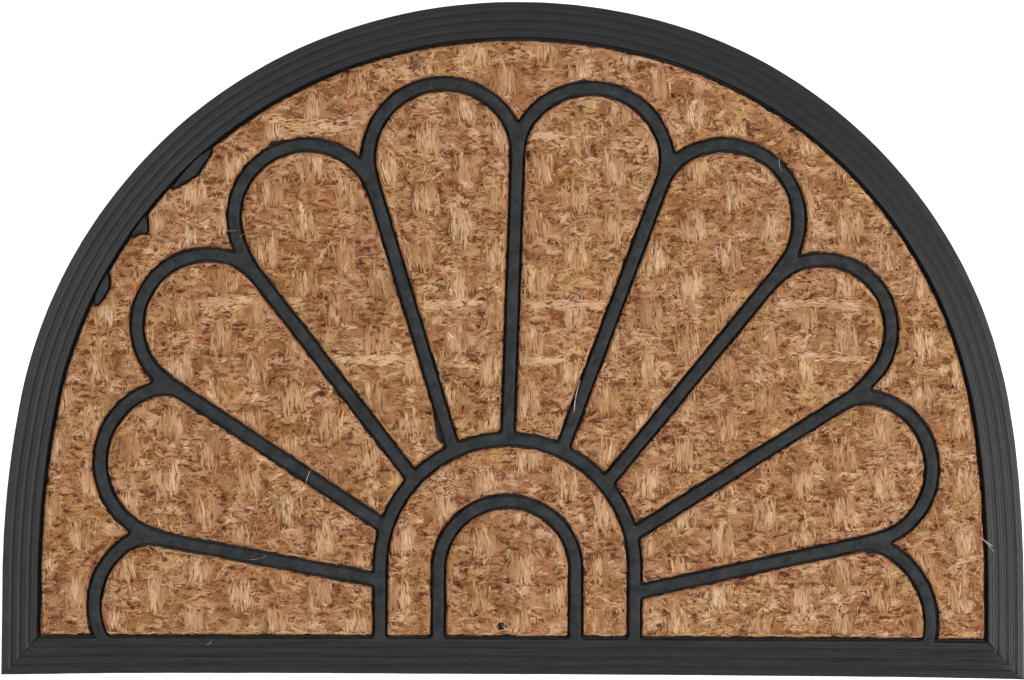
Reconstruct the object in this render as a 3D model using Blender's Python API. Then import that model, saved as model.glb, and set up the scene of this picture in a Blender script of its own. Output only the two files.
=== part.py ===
"""Half-round doormat: one rubber moulding and one cut of woven coir matting laid in it.

The rubber is a thin back sheet, a ridged rim with mitred corners and a network of
ribs that draws ten petals round a double arch. The coir lies on the back sheet inside
the rim, is pressed down into channels where the ribs cross over it, and stands up in
a pillow with a coarse basket weave inside every field that the ribs leave open.

Metres, +Z up. The origin is on the ground at the middle of the mat, +X runs along the
straight edge and +Y points to the top of the arch. Dimensions below are millimetres.
"""
import math

import bmesh
import bpy
from mathutils.geometry import delaunay_2d_cdt

MM = 0.001

# outline: a half-round of three tangent arcs on each side
MAT_DEPTH = 395.6
CROWN_RADIUS = 322.0
HAUNCH_RADIUS = 286.4
FLANK_RADIUS = 557.0
CROWN_STARTS = 75.2
HAUNCH_STARTS = 10.3
OUTLINE_LEAN = 0.009
CROWN_STEPS = 5
HAUNCH_STEPS = 24
FLANK_STEPS = 4

# rim: four flat ridges that climb from a thin outer edge to the inner edge, parted by grooves
RIM_ON_ARCH = 21.4
RIM_ON_BASE = 22.4
RIM_EDGE_Z = 3.0
RIM_INNER_Z = 8.6
RIM_CHAMFER = 0.5
GROOVE_DEPTH = 0.7
GROOVE_WIDTH = 1.9

# the middle of each groove: distance in from the arch, and in from the straight edge
RIM_GROOVES = [(5.4, 4.6), (10.4, 10.0), (16.0, 15.6)]

# heights
BACK_SHEET = 2.0
COIR_BOTTOM = 2.3
CHANNEL_FLOOR = 5.1
RIB_UNDERSIDE = 5.4
RIB_TOP = 8.2
PILLOW_BROW = 7.2
PILLOW_SHOULDER = 8.3
WEFT_TOP = 8.5
FLOAT_TOP = 9.5

# ribs and the gaps beside them
RIB_WIDTH = 6.4
RIB_CHAMFER = 0.7
COIR_GAP = 1.0
RIM_GAP = 1.5
FOOT_IN_RIM = 2.2
FIELD_IN_RIM = 0.25
COIR_TO_RIM = 0.4
BROW_IN = 0.3
SHOULDER_IN = 1.6

# the double arch at the middle of the straight edge: centre x, centre y, radius
HUB_ARCH = (-2.4, 63.6, 74.8)
DOOR_ARCH = (-2.6, 61.6, 40.3)

# the nine radial ribs, from right to left: a point on the rib, and its bearing
RIBS = [
    (157.0, 67.4, 12.5),
    (143.5, 128.6, 32.3),
    (113.6, 184.5, 50.9),
    (62.0, 221.0, 69.7),
    (0.2, 234.3, 88.3),
    (-62.6, 222.7, 107.2),
    (-113.8, 186.5, 128.0),
    (-143.7, 131.8, 146.8),
    (-157.7, 69.8, 169.6),
]

# the ten rounded petal ends, from right to left: centre x, centre y, radius
PETAL_ENDS = [
    (198.0, 31.6, 49.0),
    (203.7, 121.8, 43.0),
    (181.4, 203.8, 41.0),
    (123.6, 267.6, 44.4),
    (45.3, 299.6, 45.3),
    (-41.0, 302.6, 44.5),
    (-121.3, 268.0, 42.8),
    (-179.1, 204.5, 41.6),
    (-197.0, 123.9, 45.0),
    (-202.1, 39.8, 43.6),
]
PETAL_END_STEPS = 13
SCALLOP_STEPS = 9
ARCH_STEPS = 20
FOOT_ROUNDING = 4.0
TIP_ROUNDING = 9.0
CUSP_ROUNDING = 5.5
ROUNDING_STEPS = 3

# the straight sides of a field bow out by a hair, as moulded ones do
SIDE_BOW = 0.08

# basket weave: warp floats raised at every second crossing of a slightly skewed cloth
WARP_PITCH = 23.05
WEFT_PITCH = 16.8
WARP_SLANT = 0.8
WARP_NARROWING = 0.07
WEFT_DROOP = 0.011
WEFT_WIDENING = 0.022
FLOAT_TOP_WIDTH = 9.0
FLOAT_TOP_LENGTH = 11.2
WEAVE_CENTRE = (-12.0, 178.8)
WEAVE_COLUMNS = range(-14, 16)
WEAVE_ROWS = range(-11, 14)
WEAVE_EDGE_ROOM = 2.0
WEAVE_FADE = 5.0


def on_line(line, distance):
    x, y, bearing = line
    return (x + distance * math.cos(bearing), y + distance * math.sin(bearing))


def line(x, y, bearing):
    return ("line", (x, y, bearing))


def upright(x):
    return line(x, 0.0, math.pi / 2)


def beside(rib, distance):
    """The line alongside a rib; a positive distance is to its left, looking outward."""
    x, y, bearing = rib
    return line(x - distance * math.sin(bearing), y + distance * math.cos(bearing), bearing)


def circle(centre_x, centre_y, radius, turn=1):
    return ("circle", (centre_x, centre_y, radius), turn)


def meet(first, second, near):
    """The crossing of two lines or circles that is nearest to a given point."""
    if first[0] == "circle" and second[0] == "line":
        return meet(second, first, near)
    if first[0] == "line" and second[0] == "line":
        x1, y1, t1 = first[1]
        x2, y2, t2 = second[1]
        along = ((x2 - x1) * math.sin(t2) - (y2 - y1) * math.cos(t2)) / math.sin(t2 - t1)
        return on_line(first[1], along)
    if first[0] == "line":
        x, y, t = first[1]
        cx, cy, r = second[1]
        middle = (cx - x) * math.cos(t) + (cy - y) * math.sin(t)
        off = (cx - x) * math.sin(t) - (cy - y) * math.cos(t)
        half = math.sqrt(max(r * r - off * off, 0.0))
        found = [on_line(first[1], middle - half), on_line(first[1], middle + half)]
    else:
        x1, y1, r1 = first[1]
        x2, y2, r2 = second[1]
        gap = math.hypot(x2 - x1, y2 - y1)
        ux = (x2 - x1) / gap
        uy = (y2 - y1) / gap
        along = (r1 * r1 - r2 * r2 + gap * gap) / (2 * gap)
        half = math.sqrt(max(r1 * r1 - along * along, 0.0))
        px = x1 + along * ux
        py = y1 + along * uy
        found = [(px - half * uy, py + half * ux), (px + half * uy, py - half * ux)]
    return min(found, key=lambda point: math.dist(point, near))


def run(edge, start, end, cut_start, cut_end, steps):
    """Points along one edge, with both of its ends cut back to make room for rounding."""
    if edge[0] == "line":
        length = math.dist(start, end)
        ux = (end[0] - start[0]) / length
        uy = (end[1] - start[1]) / length
        points = []
        for i in range(steps + 1):
            along = cut_start + (length - cut_start - cut_end) * i / steps
            bow = SIDE_BOW * 4 * (i / steps) * (1 - i / steps)
            points.append((start[0] + ux * along + uy * bow, start[1] + uy * along - ux * bow))
        return points
    cx, cy, r = edge[1]
    turn = edge[2]
    first = math.atan2(start[1] - cy, start[0] - cx)
    last = math.atan2(end[1] - cy, end[0] - cx)
    if turn > 0 and last < first:
        last += 2 * math.pi
    if turn < 0 and last > first:
        last -= 2 * math.pi
    first += turn * cut_start / r
    last -= turn * cut_end / r
    angles = [first + (last - first) * i / steps for i in range(steps + 1)]
    return [(cx + r * math.cos(a), cy + r * math.sin(a)) for a in angles]


def rounded(before, corner, after):
    """Points of a round between two edges, without its two ends."""
    points = []
    for i in range(1, ROUNDING_STEPS):
        t = i / ROUNDING_STEPS
        a = (1 - t) ** 2
        b = 2 * t * (1 - t)
        c = t * t
        x = a * before[0] + b * corner[0] + c * after[0]
        y = a * before[1] + b * corner[1] + c * after[1]
        points.append((x, y))
    return points


def trace(path):
    """A closed loop from a list of (corner, rounding, edge that leaves it, steps)."""
    runs = []
    for i, (corner, cut, edge, steps) in enumerate(path):
        following = path[(i + 1) % len(path)]
        runs.append(run(edge, corner, following[0], cut, following[1], steps))
    loop = []
    for i, (corner, cut, edge, steps) in enumerate(path):
        if cut > 0:
            loop.extend(rounded(runs[i - 1][-1], corner, runs[i][0]))
            loop.extend(runs[i])
        else:
            loop.extend(runs[i][1:])
    return loop


def half_round(inset, base_inset):
    """The mat's outline drawn in, from the right corner over the arch to the left corner."""
    crown_start = math.radians(CROWN_STARTS)
    haunch_start = math.radians(HAUNCH_STARTS)
    crown = (0.0, MAT_DEPTH - CROWN_RADIUS)
    step_in = CROWN_RADIUS - HAUNCH_RADIUS
    haunch = (crown[0] + step_in * math.cos(crown_start), crown[1] + step_in * math.sin(crown_start))
    step_in = HAUNCH_RADIUS - FLANK_RADIUS
    flank = (haunch[0] + step_in * math.cos(haunch_start), haunch[1] + step_in * math.sin(haunch_start))
    spans = [
        (flank, FLANK_RADIUS, 0.0, haunch_start, FLANK_STEPS),
        (haunch, HAUNCH_RADIUS, haunch_start, crown_start, HAUNCH_STEPS),
        (crown, CROWN_RADIUS, crown_start, math.pi / 2, CROWN_STEPS),
    ]
    right = []
    for centre, radius, low, high, steps in spans:
        for i in range(steps):
            a = low + (high - low) * i / steps
            r = radius - inset
            right.append((centre[0] + r * math.cos(a), centre[1] + r * math.sin(a)))
    top = [(0.0, MAT_DEPTH - inset)]
    foot = (right[0][0], base_inset)
    right = [foot] + right
    left = [(-x, y) for x, y in reversed(right)]
    return [(x + OUTLINE_LEAN * y, y) for x, y in right + top + left]


def fields(inset, rim_inset):
    """The loops round the openings between the ribs, drawn in by an inset from the ribs and the rim."""
    away = RIB_WIDTH / 2 + inset
    ribs = [(x, y, math.radians(bearing)) for x, y, bearing in RIBS]
    base_y = RIM_ON_BASE + rim_inset
    base = line(0.0, base_y, 0.0)
    hub_x, hub_y, hub_r = HUB_ARCH
    door_x, door_y, door_r = DOOR_ARCH
    foot = (hub_x, hub_y)
    loops = []

    # the eight petals between two ribs
    for i in range(1, len(ribs)):
        cx, cy, r = PETAL_ENDS[i]
        end = circle(cx, cy, r - away)
        hub = circle(hub_x, hub_y, hub_r + away, -1)
        right = beside(ribs[i - 1], away)
        left = beside(ribs[i], -away)
        tips = (
            (meet(right, end, on_line(right[1], MAT_DEPTH)), TIP_ROUNDING, end, PETAL_END_STEPS),
            (meet(left, end, on_line(left[1], MAT_DEPTH)), TIP_ROUNDING, left, 2),
        )
        if i == 1:
            leg = upright(hub_x + hub_r + away)
            feet = [
                (meet(left, hub, (cx, cy)), FOOT_ROUNDING, hub, 2),
                ((hub_x + hub_r + away, hub_y), 0, leg, 1),
                (meet(right, leg, foot), FOOT_ROUNDING, right, 2),
            ]
        elif i == len(ribs) - 1:
            leg = upright(hub_x - hub_r - away)
            feet = [
                (meet(left, leg, foot), FOOT_ROUNDING, leg, 1),
                ((hub_x - hub_r - away, hub_y), 0, hub, 2),
                (meet(right, hub, (cx, cy)), FOOT_ROUNDING, right, 2),
            ]
        else:
            feet = [
                (meet(left, hub, (cx, cy)), FOOT_ROUNDING, hub, 3),
                (meet(right, hub, (cx, cy)), FOOT_ROUNDING, right, 2),
            ]
        loops.append(trace(list(tips) + feet))

    # the two half petals that the straight rim cuts off
    for rib, (cx, cy, r), side in ((ribs[0], PETAL_ENDS[0], 1), (ribs[-1], PETAL_ENDS[-1], -1)):
        leg = upright(hub_x + side * (hub_r + away))
        end = circle(cx, cy, r - away, side)
        top = beside(rib, -side * away)
        path = [
            (meet(leg, base, foot), FOOT_ROUNDING, base, 2),
            (meet(base, end, (cx + side * r, 0)), FOOT_ROUNDING, end, PETAL_END_STEPS - 3),
            (meet(top, end, on_line(top[1], MAT_DEPTH)), TIP_ROUNDING, top, 2),
            (meet(top, leg, foot), FOOT_ROUNDING, leg, 1),
        ]
        loop = trace(path)
        loops.append(loop if side > 0 else loop[::-1])

    # the band between the two arches, and the opening under the small one
    outer = hub_r - away
    inner = door_r + away
    path = [
        ((door_x + inner, base_y), FOOT_ROUNDING, base, 1),
        ((hub_x + outer, base_y), FOOT_ROUNDING, upright(hub_x + outer), 1),
        ((hub_x + outer, hub_y), 0, circle(hub_x, hub_y, outer), ARCH_STEPS),
        ((hub_x - outer, hub_y), 0, upright(hub_x - outer), 1),
        ((hub_x - outer, base_y), FOOT_ROUNDING, base, 1),
        ((door_x - inner, base_y), FOOT_ROUNDING, upright(door_x - inner), 1),
        ((door_x - inner, door_y), 0, circle(door_x, door_y, inner, -1), ARCH_STEPS - 4),
        ((door_x + inner, door_y), 0, upright(door_x + inner), 1),
    ]
    loops.append(trace(path))
    inner = door_r - away
    path = [
        ((door_x - inner, base_y), FOOT_ROUNDING, base, 1),
        ((door_x + inner, base_y), FOOT_ROUNDING, upright(door_x + inner), 1),
        ((door_x + inner, door_y), 0, circle(door_x, door_y, inner), ARCH_STEPS - 6),
        ((door_x - inner, door_y), 0, upright(door_x - inner), 1),
    ]
    loops.append(trace(path))

    # the band outside the petals
    loops.append(half_round(RIM_ON_ARCH + rim_inset, base_y) + scallops(away, base_y))
    return loops


def scallops(away, floor_y):
    """The outer side of the petal ends, from the left foot over all ten to the right foot."""
    ends = [circle(cx, cy, r + away, -1) for cx, cy, r in reversed(PETAL_ENDS)]
    floor = line(0.0, floor_y, 0.0)
    corners = [meet(floor, ends[0], (ends[0][1][0] - ends[0][1][2], 0.0))]
    for first, second in zip(ends, ends[1:]):
        outward = (first[1][0] * 3, first[1][1] * 3)
        corners.append(meet(first, second, outward))
    corners.append(meet(floor, ends[-1], (ends[-1][1][0] + ends[-1][1][2], 0.0)))
    points = []
    for i, end in enumerate(ends):
        cut_start = CUSP_ROUNDING if i else 0.0
        cut_end = CUSP_ROUNDING if i < len(ends) - 1 else 0.0
        span = run(end, corners[i], corners[i + 1], cut_start, cut_end, SCALLOP_STEPS)
        if i:
            points.extend(rounded(points[-1], corners[i], span[0]))
        points.extend(span)
    return points


def inside(point, loop):
    x, y = point
    within = False
    x0, y0 = loop[-1]
    for x1, y1 in loop:
        if (y1 > y) != (y0 > y) and x < (x0 - x1) * (y - y1) / (y0 - y1) + x1:
            within = not within
        x0 = x1
        y0 = y1
    return within


def clearance(point, loop):
    """The distance from a point to the nearest side of a loop."""
    best = 1e9
    x0, y0 = loop[-1]
    for x1, y1 in loop:
        dx = x1 - x0
        dy = y1 - y0
        s = ((point[0] - x0) * dx + (point[1] - y0) * dy) / (dx * dx + dy * dy)
        s = min(max(s, 0.0), 1.0)
        best = min(best, math.hypot(point[0] - x0 - s * dx, point[1] - y0 - s * dy))
        x0 = x1
        y0 = y1
    return best


class Skin:
    """Vertices and faces of one body, gathered strip by strip."""

    def __init__(self):
        self.points = []
        self.faces = []

    def ring(self, loop, z):
        start = len(self.points)
        for x, y in loop:
            self.points.append((x, y, z))
        return list(range(start, len(self.points)))

    def strip(self, lower, upper):
        """Side faces between two rings of equal length; they face right of the walking direction."""
        count = len(lower)
        for i in range(count):
            j = (i + 1) % count
            self.faces.append((lower[i], lower[j], upper[j], upper[i]))

    def sheet(self, outer, holes=(), extra=(), up=True):
        """A triangulated face bounded by rings already in the body, through extra points."""
        rings = [outer] + list(holes)
        index = []
        sides = []
        for ring in rings:
            first = len(index)
            index.extend(ring)
            for i in range(len(ring)):
                sides.append((first + i, first + (i + 1) % len(ring)))
        for x, y, z in extra:
            index.append(len(self.points))
            self.points.append((x, y, z))
        flat = [self.points[i][:2] for i in index]
        found = delaunay_2d_cdt(flat, sides, [], 0, 1e-7, True)
        source = [origins[0] for origins in found[3]]
        loops = [[self.points[i][:2] for i in ring] for ring in rings]
        for face in found[2]:
            corners = [index[source[i]] for i in face]
            middle = (
                sum(self.points[i][0] for i in corners) / 3,
                sum(self.points[i][1] for i in corners) / 3,
            )
            if inside(middle, loops[0]) and not any(inside(middle, hole) for hole in loops[1:]):
                self.faces.append(tuple(corners) if up else tuple(reversed(corners)))

    def body(self, name, collection, material):
        moved = [((x - SHIFT[0]) * MM, (y - SHIFT[1]) * MM, z * MM) for x, y, z in self.points]
        mesh = bpy.data.meshes.new(name)
        mesh.from_pydata(moved, [], self.faces)
        mesh.validate()
        mesh.materials.append(material)
        thing = bpy.data.objects.new(name, mesh)
        collection.objects.link(thing)
        return thing


def middle_of_box(loop):
    xs = [x for x, y in loop]
    ys = [y for x, y in loop]
    return ((min(xs) + max(xs)) / 2, (min(ys) + max(ys)) / 2)


def climbed(on_arch, on_base, sunk=0.0):
    """A step of the rim: how far in from the arch, from the straight edge, and its height."""
    share = on_arch / RIM_ON_ARCH
    return (on_arch, on_base, RIM_EDGE_Z + (RIM_INNER_Z - RIM_EDGE_Z) * share - sunk)


def rim_profile():
    """The steps across the rim, from the outer edge inward."""
    steps = [(0.0, 0.0, RIM_EDGE_Z - RIM_CHAMFER), (RIM_CHAMFER, RIM_CHAMFER, RIM_EDGE_Z)]
    half = GROOVE_WIDTH / 2
    for on_arch, on_base in RIM_GROOVES:
        steps.append(climbed(on_arch - half, on_base - half))
        steps.append(climbed(on_arch, on_base, GROOVE_DEPTH))
        steps.append(climbed(on_arch + half, on_base + half))
    steps.append((RIM_ON_ARCH - RIM_CHAMFER, RIM_ON_BASE - RIM_CHAMFER, RIM_INNER_Z))
    steps.append((RIM_ON_ARCH, RIM_ON_BASE, RIM_INNER_Z - RIM_CHAMFER))
    return steps


def tray():
    """The back sheet with its ridged rim."""
    skin = Skin()
    bottom = skin.ring(half_round(0.0, 0.0), 0.0)
    skin.sheet(bottom, up=False)
    below = bottom
    for on_arch, on_base, z in rim_profile():
        above = skin.ring(half_round(on_arch, on_base), z)
        skin.strip(below, above)
        below = above
    floor = skin.ring(half_round(RIM_ON_ARCH, RIM_ON_BASE), BACK_SHEET)
    skin.strip(below, floor)
    skin.sheet(floor)
    return skin


def cut_out(name, loops, low, high, chamfer, collection, material):
    """A flat shape with holes, extruded between two heights, as one welded mesh object."""
    curve = bpy.data.curves.new(name, "CURVE")
    curve.dimensions = "2D"
    curve.fill_mode = "BOTH"
    curve.extrude = ((high - low) / 2 - chamfer) * MM
    curve.bevel_depth = chamfer * MM
    curve.bevel_resolution = 0
    curve.offset = -chamfer * MM
    for loop in loops:
        spline = curve.splines.new("POLY")
        spline.points.add(len(loop) - 1)
        for point, (x, y) in zip(spline.points, loop):
            point.co = ((x - SHIFT[0]) * MM, (y - SHIFT[1]) * MM, 0.0, 1.0)
        spline.use_cyclic_u = True
    drawn = bpy.data.objects.new(name + "_outline", curve)
    collection.objects.link(drawn)
    bpy.context.view_layer.update()
    mesh = bpy.data.meshes.new_from_object(drawn.evaluated_get(bpy.context.evaluated_depsgraph_get()))
    bpy.data.objects.remove(drawn)
    weld = bmesh.new()
    weld.from_mesh(mesh)
    bmesh.ops.remove_doubles(weld, verts=weld.verts, dist=0.00001)
    bmesh.ops.recalc_face_normals(weld, faces=weld.faces)
    weld.to_mesh(mesh)
    weld.free()
    mesh.name = name
    mesh.materials.clear()
    mesh.materials.append(material)
    thing = bpy.data.objects.new(name, mesh)
    thing.location.z = (low + high) / 2 * MM
    collection.objects.link(thing)
    return thing


def rib_loops():
    """The edge of the rib network, whose feet reach into the straight rim, and its openings."""
    network = scallops(RIB_WIDTH / 2, RIM_ON_BASE - FOOT_IN_RIM)
    return [network] + fields(0.0, -FIELD_IN_RIM)[:-1]


def crossing(column, row):
    """Where a warp strand pair crosses a weft band, counted from the middle of the cloth."""
    x = WEAVE_CENTRE[0] + column * (WARP_PITCH - WARP_NARROWING * row) + WARP_SLANT * row
    y = WEAVE_CENTRE[1] + row * (WEFT_PITCH + WEFT_WIDENING * row) + WEFT_DROOP * column * column
    return (x, y)


def weave_points(loop):
    """The four top corners of every warp float and the low points between, kept clear of a loop."""
    xs = [x for x, y in loop]
    ys = [y for x, y in loop]
    found = []
    for row in WEAVE_ROWS:
        for column in WEAVE_COLUMNS:
            x, y = crossing(column, row)
            spots = [(x, y, WEFT_TOP)]
            if (row + column) % 2 == 0:
                half_width = FLOAT_TOP_WIDTH / 2
                half_length = FLOAT_TOP_LENGTH / 2
                spots = [
                    (x - half_width, y - half_length, FLOAT_TOP),
                    (x + half_width, y - half_length, FLOAT_TOP),
                    (x - half_width, y + half_length, FLOAT_TOP),
                    (x + half_width, y + half_length, FLOAT_TOP),
                ]
            for px, py, pz in spots:
                if not (min(xs) < px < max(xs) and min(ys) < py < max(ys) and inside((px, py), loop)):
                    continue
                room = clearance((px, py), loop)
                if room > WEAVE_EDGE_ROOM:
                    reach = min(1.0, room / WEAVE_FADE)
                    found.append((px, py, PILLOW_SHOULDER + (pz - PILLOW_SHOULDER) * reach))
    return found


def matting():
    """The coir: flat underneath, with channels below the ribs and a woven pillow in each field."""
    skin = Skin()
    edge = half_round(RIM_ON_ARCH + COIR_TO_RIM, RIM_ON_BASE + COIR_TO_RIM)
    bottom = skin.ring(edge, COIR_BOTTOM)
    top = skin.ring(edge, CHANNEL_FLOOR)
    skin.sheet(bottom, up=False)
    skin.strip(bottom, top)
    feet = []
    foot_loops = fields(COIR_GAP, RIM_GAP)
    brow_loops = fields(COIR_GAP + BROW_IN, RIM_GAP + BROW_IN)
    shoulder_loops = fields(COIR_GAP + SHOULDER_IN, RIM_GAP + SHOULDER_IN)
    for foot, brow, shoulder in zip(foot_loops, brow_loops, shoulder_loops):
        low = skin.ring(foot, CHANNEL_FLOOR)
        mid = skin.ring(brow, PILLOW_BROW)
        high = skin.ring(shoulder, PILLOW_SHOULDER)
        skin.strip(low, mid)
        skin.strip(mid, high)
        skin.sheet(high, extra=weave_points(shoulder))
        feet.append(low)
    skin.sheet(top, feet)
    return skin


def surface(name, colour, roughness):
    material = bpy.data.materials.new(name)
    material.use_nodes = True
    principled = material.node_tree.nodes["Principled BSDF"]
    principled.inputs["Base Color"].default_value = (*colour, 1.0)
    principled.inputs["Roughness"].default_value = roughness
    material.diffuse_color = (*colour, 1.0)
    return material


for thing in list(bpy.data.objects):
    bpy.data.objects.remove(thing, do_unlink=True)

mat_parts = bpy.data.collections.new("doormat")
shapers = bpy.data.collections.new("doormat_shapers")
bpy.context.scene.collection.children.link(mat_parts)
bpy.context.scene.collection.children.link(shapers)

SHIFT = middle_of_box(half_round(0.0, 0.0))
rubber = surface("rubber", (0.035, 0.038, 0.040), 0.75)
coir = surface("coir", (0.42, 0.25, 0.12), 0.95)

moulding = tray().body("rubber_moulding", mat_parts, rubber)
ribs_only = cut_out("rib_network", rib_loops(), RIB_UNDERSIDE, RIB_TOP, RIB_CHAMFER, shapers, rubber)
ribs_only.hide_render = True
ribs_only.display_type = "WIRE"
join = moulding.modifiers.new("ribs_joined_to_rim", "BOOLEAN")
join.operation = "UNION"
join.solver = "EXACT"
join.object = ribs_only

matting().body("coir_matting", mat_parts, coir)
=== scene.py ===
"""Looks of the half-round doormat: ridged charcoal rubber over coarse basket-woven coir.

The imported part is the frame. Plan dimensions are millimetres on the mat's own drawing, with
y = 0 on the straight edge; place() turns them into the frame's metres. The outline, the ribs
and the weave have the part's named values, with the petal ends within a millimetre of it.
"""
import math

import bmesh
import bpy
import numpy as np
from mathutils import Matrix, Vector


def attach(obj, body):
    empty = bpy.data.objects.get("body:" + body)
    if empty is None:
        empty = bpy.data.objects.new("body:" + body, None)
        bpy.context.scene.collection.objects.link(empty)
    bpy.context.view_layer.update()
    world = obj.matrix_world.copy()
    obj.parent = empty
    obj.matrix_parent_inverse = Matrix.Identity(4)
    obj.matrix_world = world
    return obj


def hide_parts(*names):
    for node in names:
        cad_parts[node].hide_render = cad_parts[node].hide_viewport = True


MM = 0.001

# outline: a half-round of three tangent arcs on each side
MAT_DEPTH = 395.6
CROWN_RADIUS = 322.0
HAUNCH_RADIUS = 286.4
FLANK_RADIUS = 557.0
CROWN_STARTS = 75.2
HAUNCH_STARTS = 10.3
OUTLINE_LEAN = 0.009
ARCH_STEP = 3.2
FLANK_FOOT_STEPS = 18
BASE_STEPS = 150

# rim: four ridges that climb from a thin outer edge to the inner edge, parted by grooves
RIM_ON_ARCH = 21.4
RIM_ON_BASE = 22.4
RIM_EDGE_Z = 3.0
RIM_INNER_Z = 8.6
RIM_GROOVES = [(5.5, 4.2), (10.6, 9.6), (15.9, 15.2)]
GROOVE_DEPTH = 0.8
GROOVE_WIDTH = 2.7
MITRE_DEPTH = 0.8
MITRE_HALF_WIDTH = 0.9

# the rim's edges wander toward and away from this point of the middle line
RIM_MIDDLE_Y = 60.0

# the rim's top rounds off before its inner wall; across a ridge or a groove, share and height
RIM_WALL_ON_ARCH = 21.3
RIM_WALL_ON_BASE = 21.2
LEDGE_Z = 5.0
RIDGE_SHAPE = [
    (0.0, -0.08), (0.14, 0.04), (0.30, 0.07), (0.42, 0.02), (0.50, -0.08),
    (0.58, 0.02), (0.70, 0.08), (0.86, 0.05), (1.0, -0.08),
]
GROOVE_SHAPE = [(-0.60, 0.50), (-0.25, 0.95), (0.15, 1.0), (0.55, 0.55)]

# heights
BACK_SHEET = 2.0
COIR_BOTTOM = 2.3
CHANNEL_FLOOR = 5.0
RIB_FOOT = 4.0
RIB_TOP = 8.2
PILLOW_BROW = 6.6
PILLOW_SHOULDER = 7.7

# ribs
RIB_WIDTH = 6.4
RIB_ROUND = 0.8
FOOT_IN_RIM = 2.8
FIELD_IN_RIM = 1.2
RIB_SLIMMER = 0.05
BORDER_ON_ARCH = 21.95
BORDER_ON_BASE = 21.7
SHELF = 1.6
EDGE_WOBBLE = 0.22
COIR_TO_RIM = 0.4

# the double arch: centre x, centre y, radius
HUB_ARCH = (-2.4, 63.6, 74.8)
DOOR_ARCH = (-2.6, 61.6, 40.3)

# the nine radial ribs, from right to left: a point on the rib, and its bearing
RIBS = [
    (157.0, 67.4, 12.5),
    (143.5, 128.6, 32.3),
    (113.6, 184.5, 50.9),
    (62.0, 221.0, 69.7),
    (0.2, 234.3, 88.3),
    (-62.6, 222.7, 107.2),
    (-113.8, 186.5, 128.0),
    (-143.7, 131.8, 146.8),
    (-157.7, 69.8, 169.6),
]

# the ten rounded petal ends, from right to left: centre x, centre y, radius
PETAL_ENDS = [
    (197.3, 31.6, 49.0),
    (203.7, 121.8, 43.0),
    (181.4, 203.8, 41.0),
    (123.6, 267.6, 44.4),
    (45.3, 299.6, 45.3),
    (-41.0, 302.6, 44.5),
    (-121.3, 268.0, 42.8),
    (-179.1, 204.5, 41.6),
    (-197.0, 123.9, 45.0),
    (-201.6, 39.8, 43.6),
]
FOOT_ROUNDING = 2.4
TIP_ROUNDING = 9.0
CUSP_ROUNDING = 5.5
ROUNDING_STEPS = 5
LOOP_STEP = 2.0

# thin rubber that squeezed out over the coir beside the rim, and places where the coir is left out, so
# the dark channel rubber shows there as painted shade
FLAPS = [
    [
        (-200.9, 285.0), (-198.0, 285.9), (-190.1, 290.6), (-185.7, 293.6),
        (-183.6, 297.9), (-180.2, 302.2), (-177.5, 307.7), (-180.4, 307.4),
        (-191.8, 296.6),
    ],
    [
        (-224.9, 256.6), (-219.7, 258.8), (-215.2, 258.6), (-215.0, 262.5),
        (-215.3, 267.5), (-216.4, 268.7), (-220.5, 263.1),
    ],
    [
        (-245.6, 216.5), (-243.9, 216.9), (-240.2, 221.5), (-237.4, 227.1),
        (-237.6, 233.7), (-238.9, 235.4), (-241.9, 228.9), (-245.0, 222.7),
    ],
]
NOTCHES = [
    [
        (-142.8, 312.1), (-135.2, 311.5), (-128.1, 310.9), (-135.1, 308.5),
        (-140.4, 307.9),
    ],
    [
        (-45.2, 154.3), (-44.0, 146.0), (-43.0, 137.8), (-40.2, 137.2),
        (-41.0, 143.7), (-43.4, 150.2),
    ],
    [(-6.6, 29.5), (-5.6, 29.0), (-6.0, 27.4)],
]
FLAP_TOP = 7.6

# weave: warp floats at every second crossing of a slightly skewed cloth
WARP_PITCH = 23.05
WEFT_PITCH = 16.8
WARP_SLANT = 0.8
WARP_NARROWING = 0.07
WEFT_DROOP = 0.011
WEFT_WIDENING = 0.022
WEAVE_CENTRE = (-12.0, 178.8)
WEAVE_COLUMNS = range(-14, 16)
WEAVE_ROWS = range(-11, 14)
STRAND_OFFSET = 3.4
STRAND_RADIUS = 4.2
FLOAT_HALF_LENGTH = 9.3

# the bottom corners sag below the straight edge and the right one juts out, fading upward
CORNER_X = 298.0
SAG_LEFT = 1.5
SAG_RIGHT = 1.4
JUT_RIGHT = 2.0
SAG_REACH = 100.0

# distance map of the plan
MAP_PITCH = 0.7
MAP_LOW = (-290.0, 14.0)
MAP_HIGH = (290.0, 384.0)
MAP_REACH = 16.0

CLOTH_PITCH = 1.65
GAP_DEPTH = 1.3

# how many fibres of each kind, how far apart they lie in a lock, and how light those of the
# floats and of the weft are; a fibre is laid in fine steps before it is trimmed
LOCKS_EACH = 22
FIBRES_IN_LOCK = 5
LOCK_SPREAD = 0.95
FINE_STEPS = 15
LONG_LOCKS = 4600
SHORT_LOCKS = 9600
UNDER_FIBRES = 42000
TANGLE_FIBRES = 1500
EDGE_FIBRES = 6500
FLOAT_LEVEL = 0.30
WEFT_LEVEL = -0.02

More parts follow.
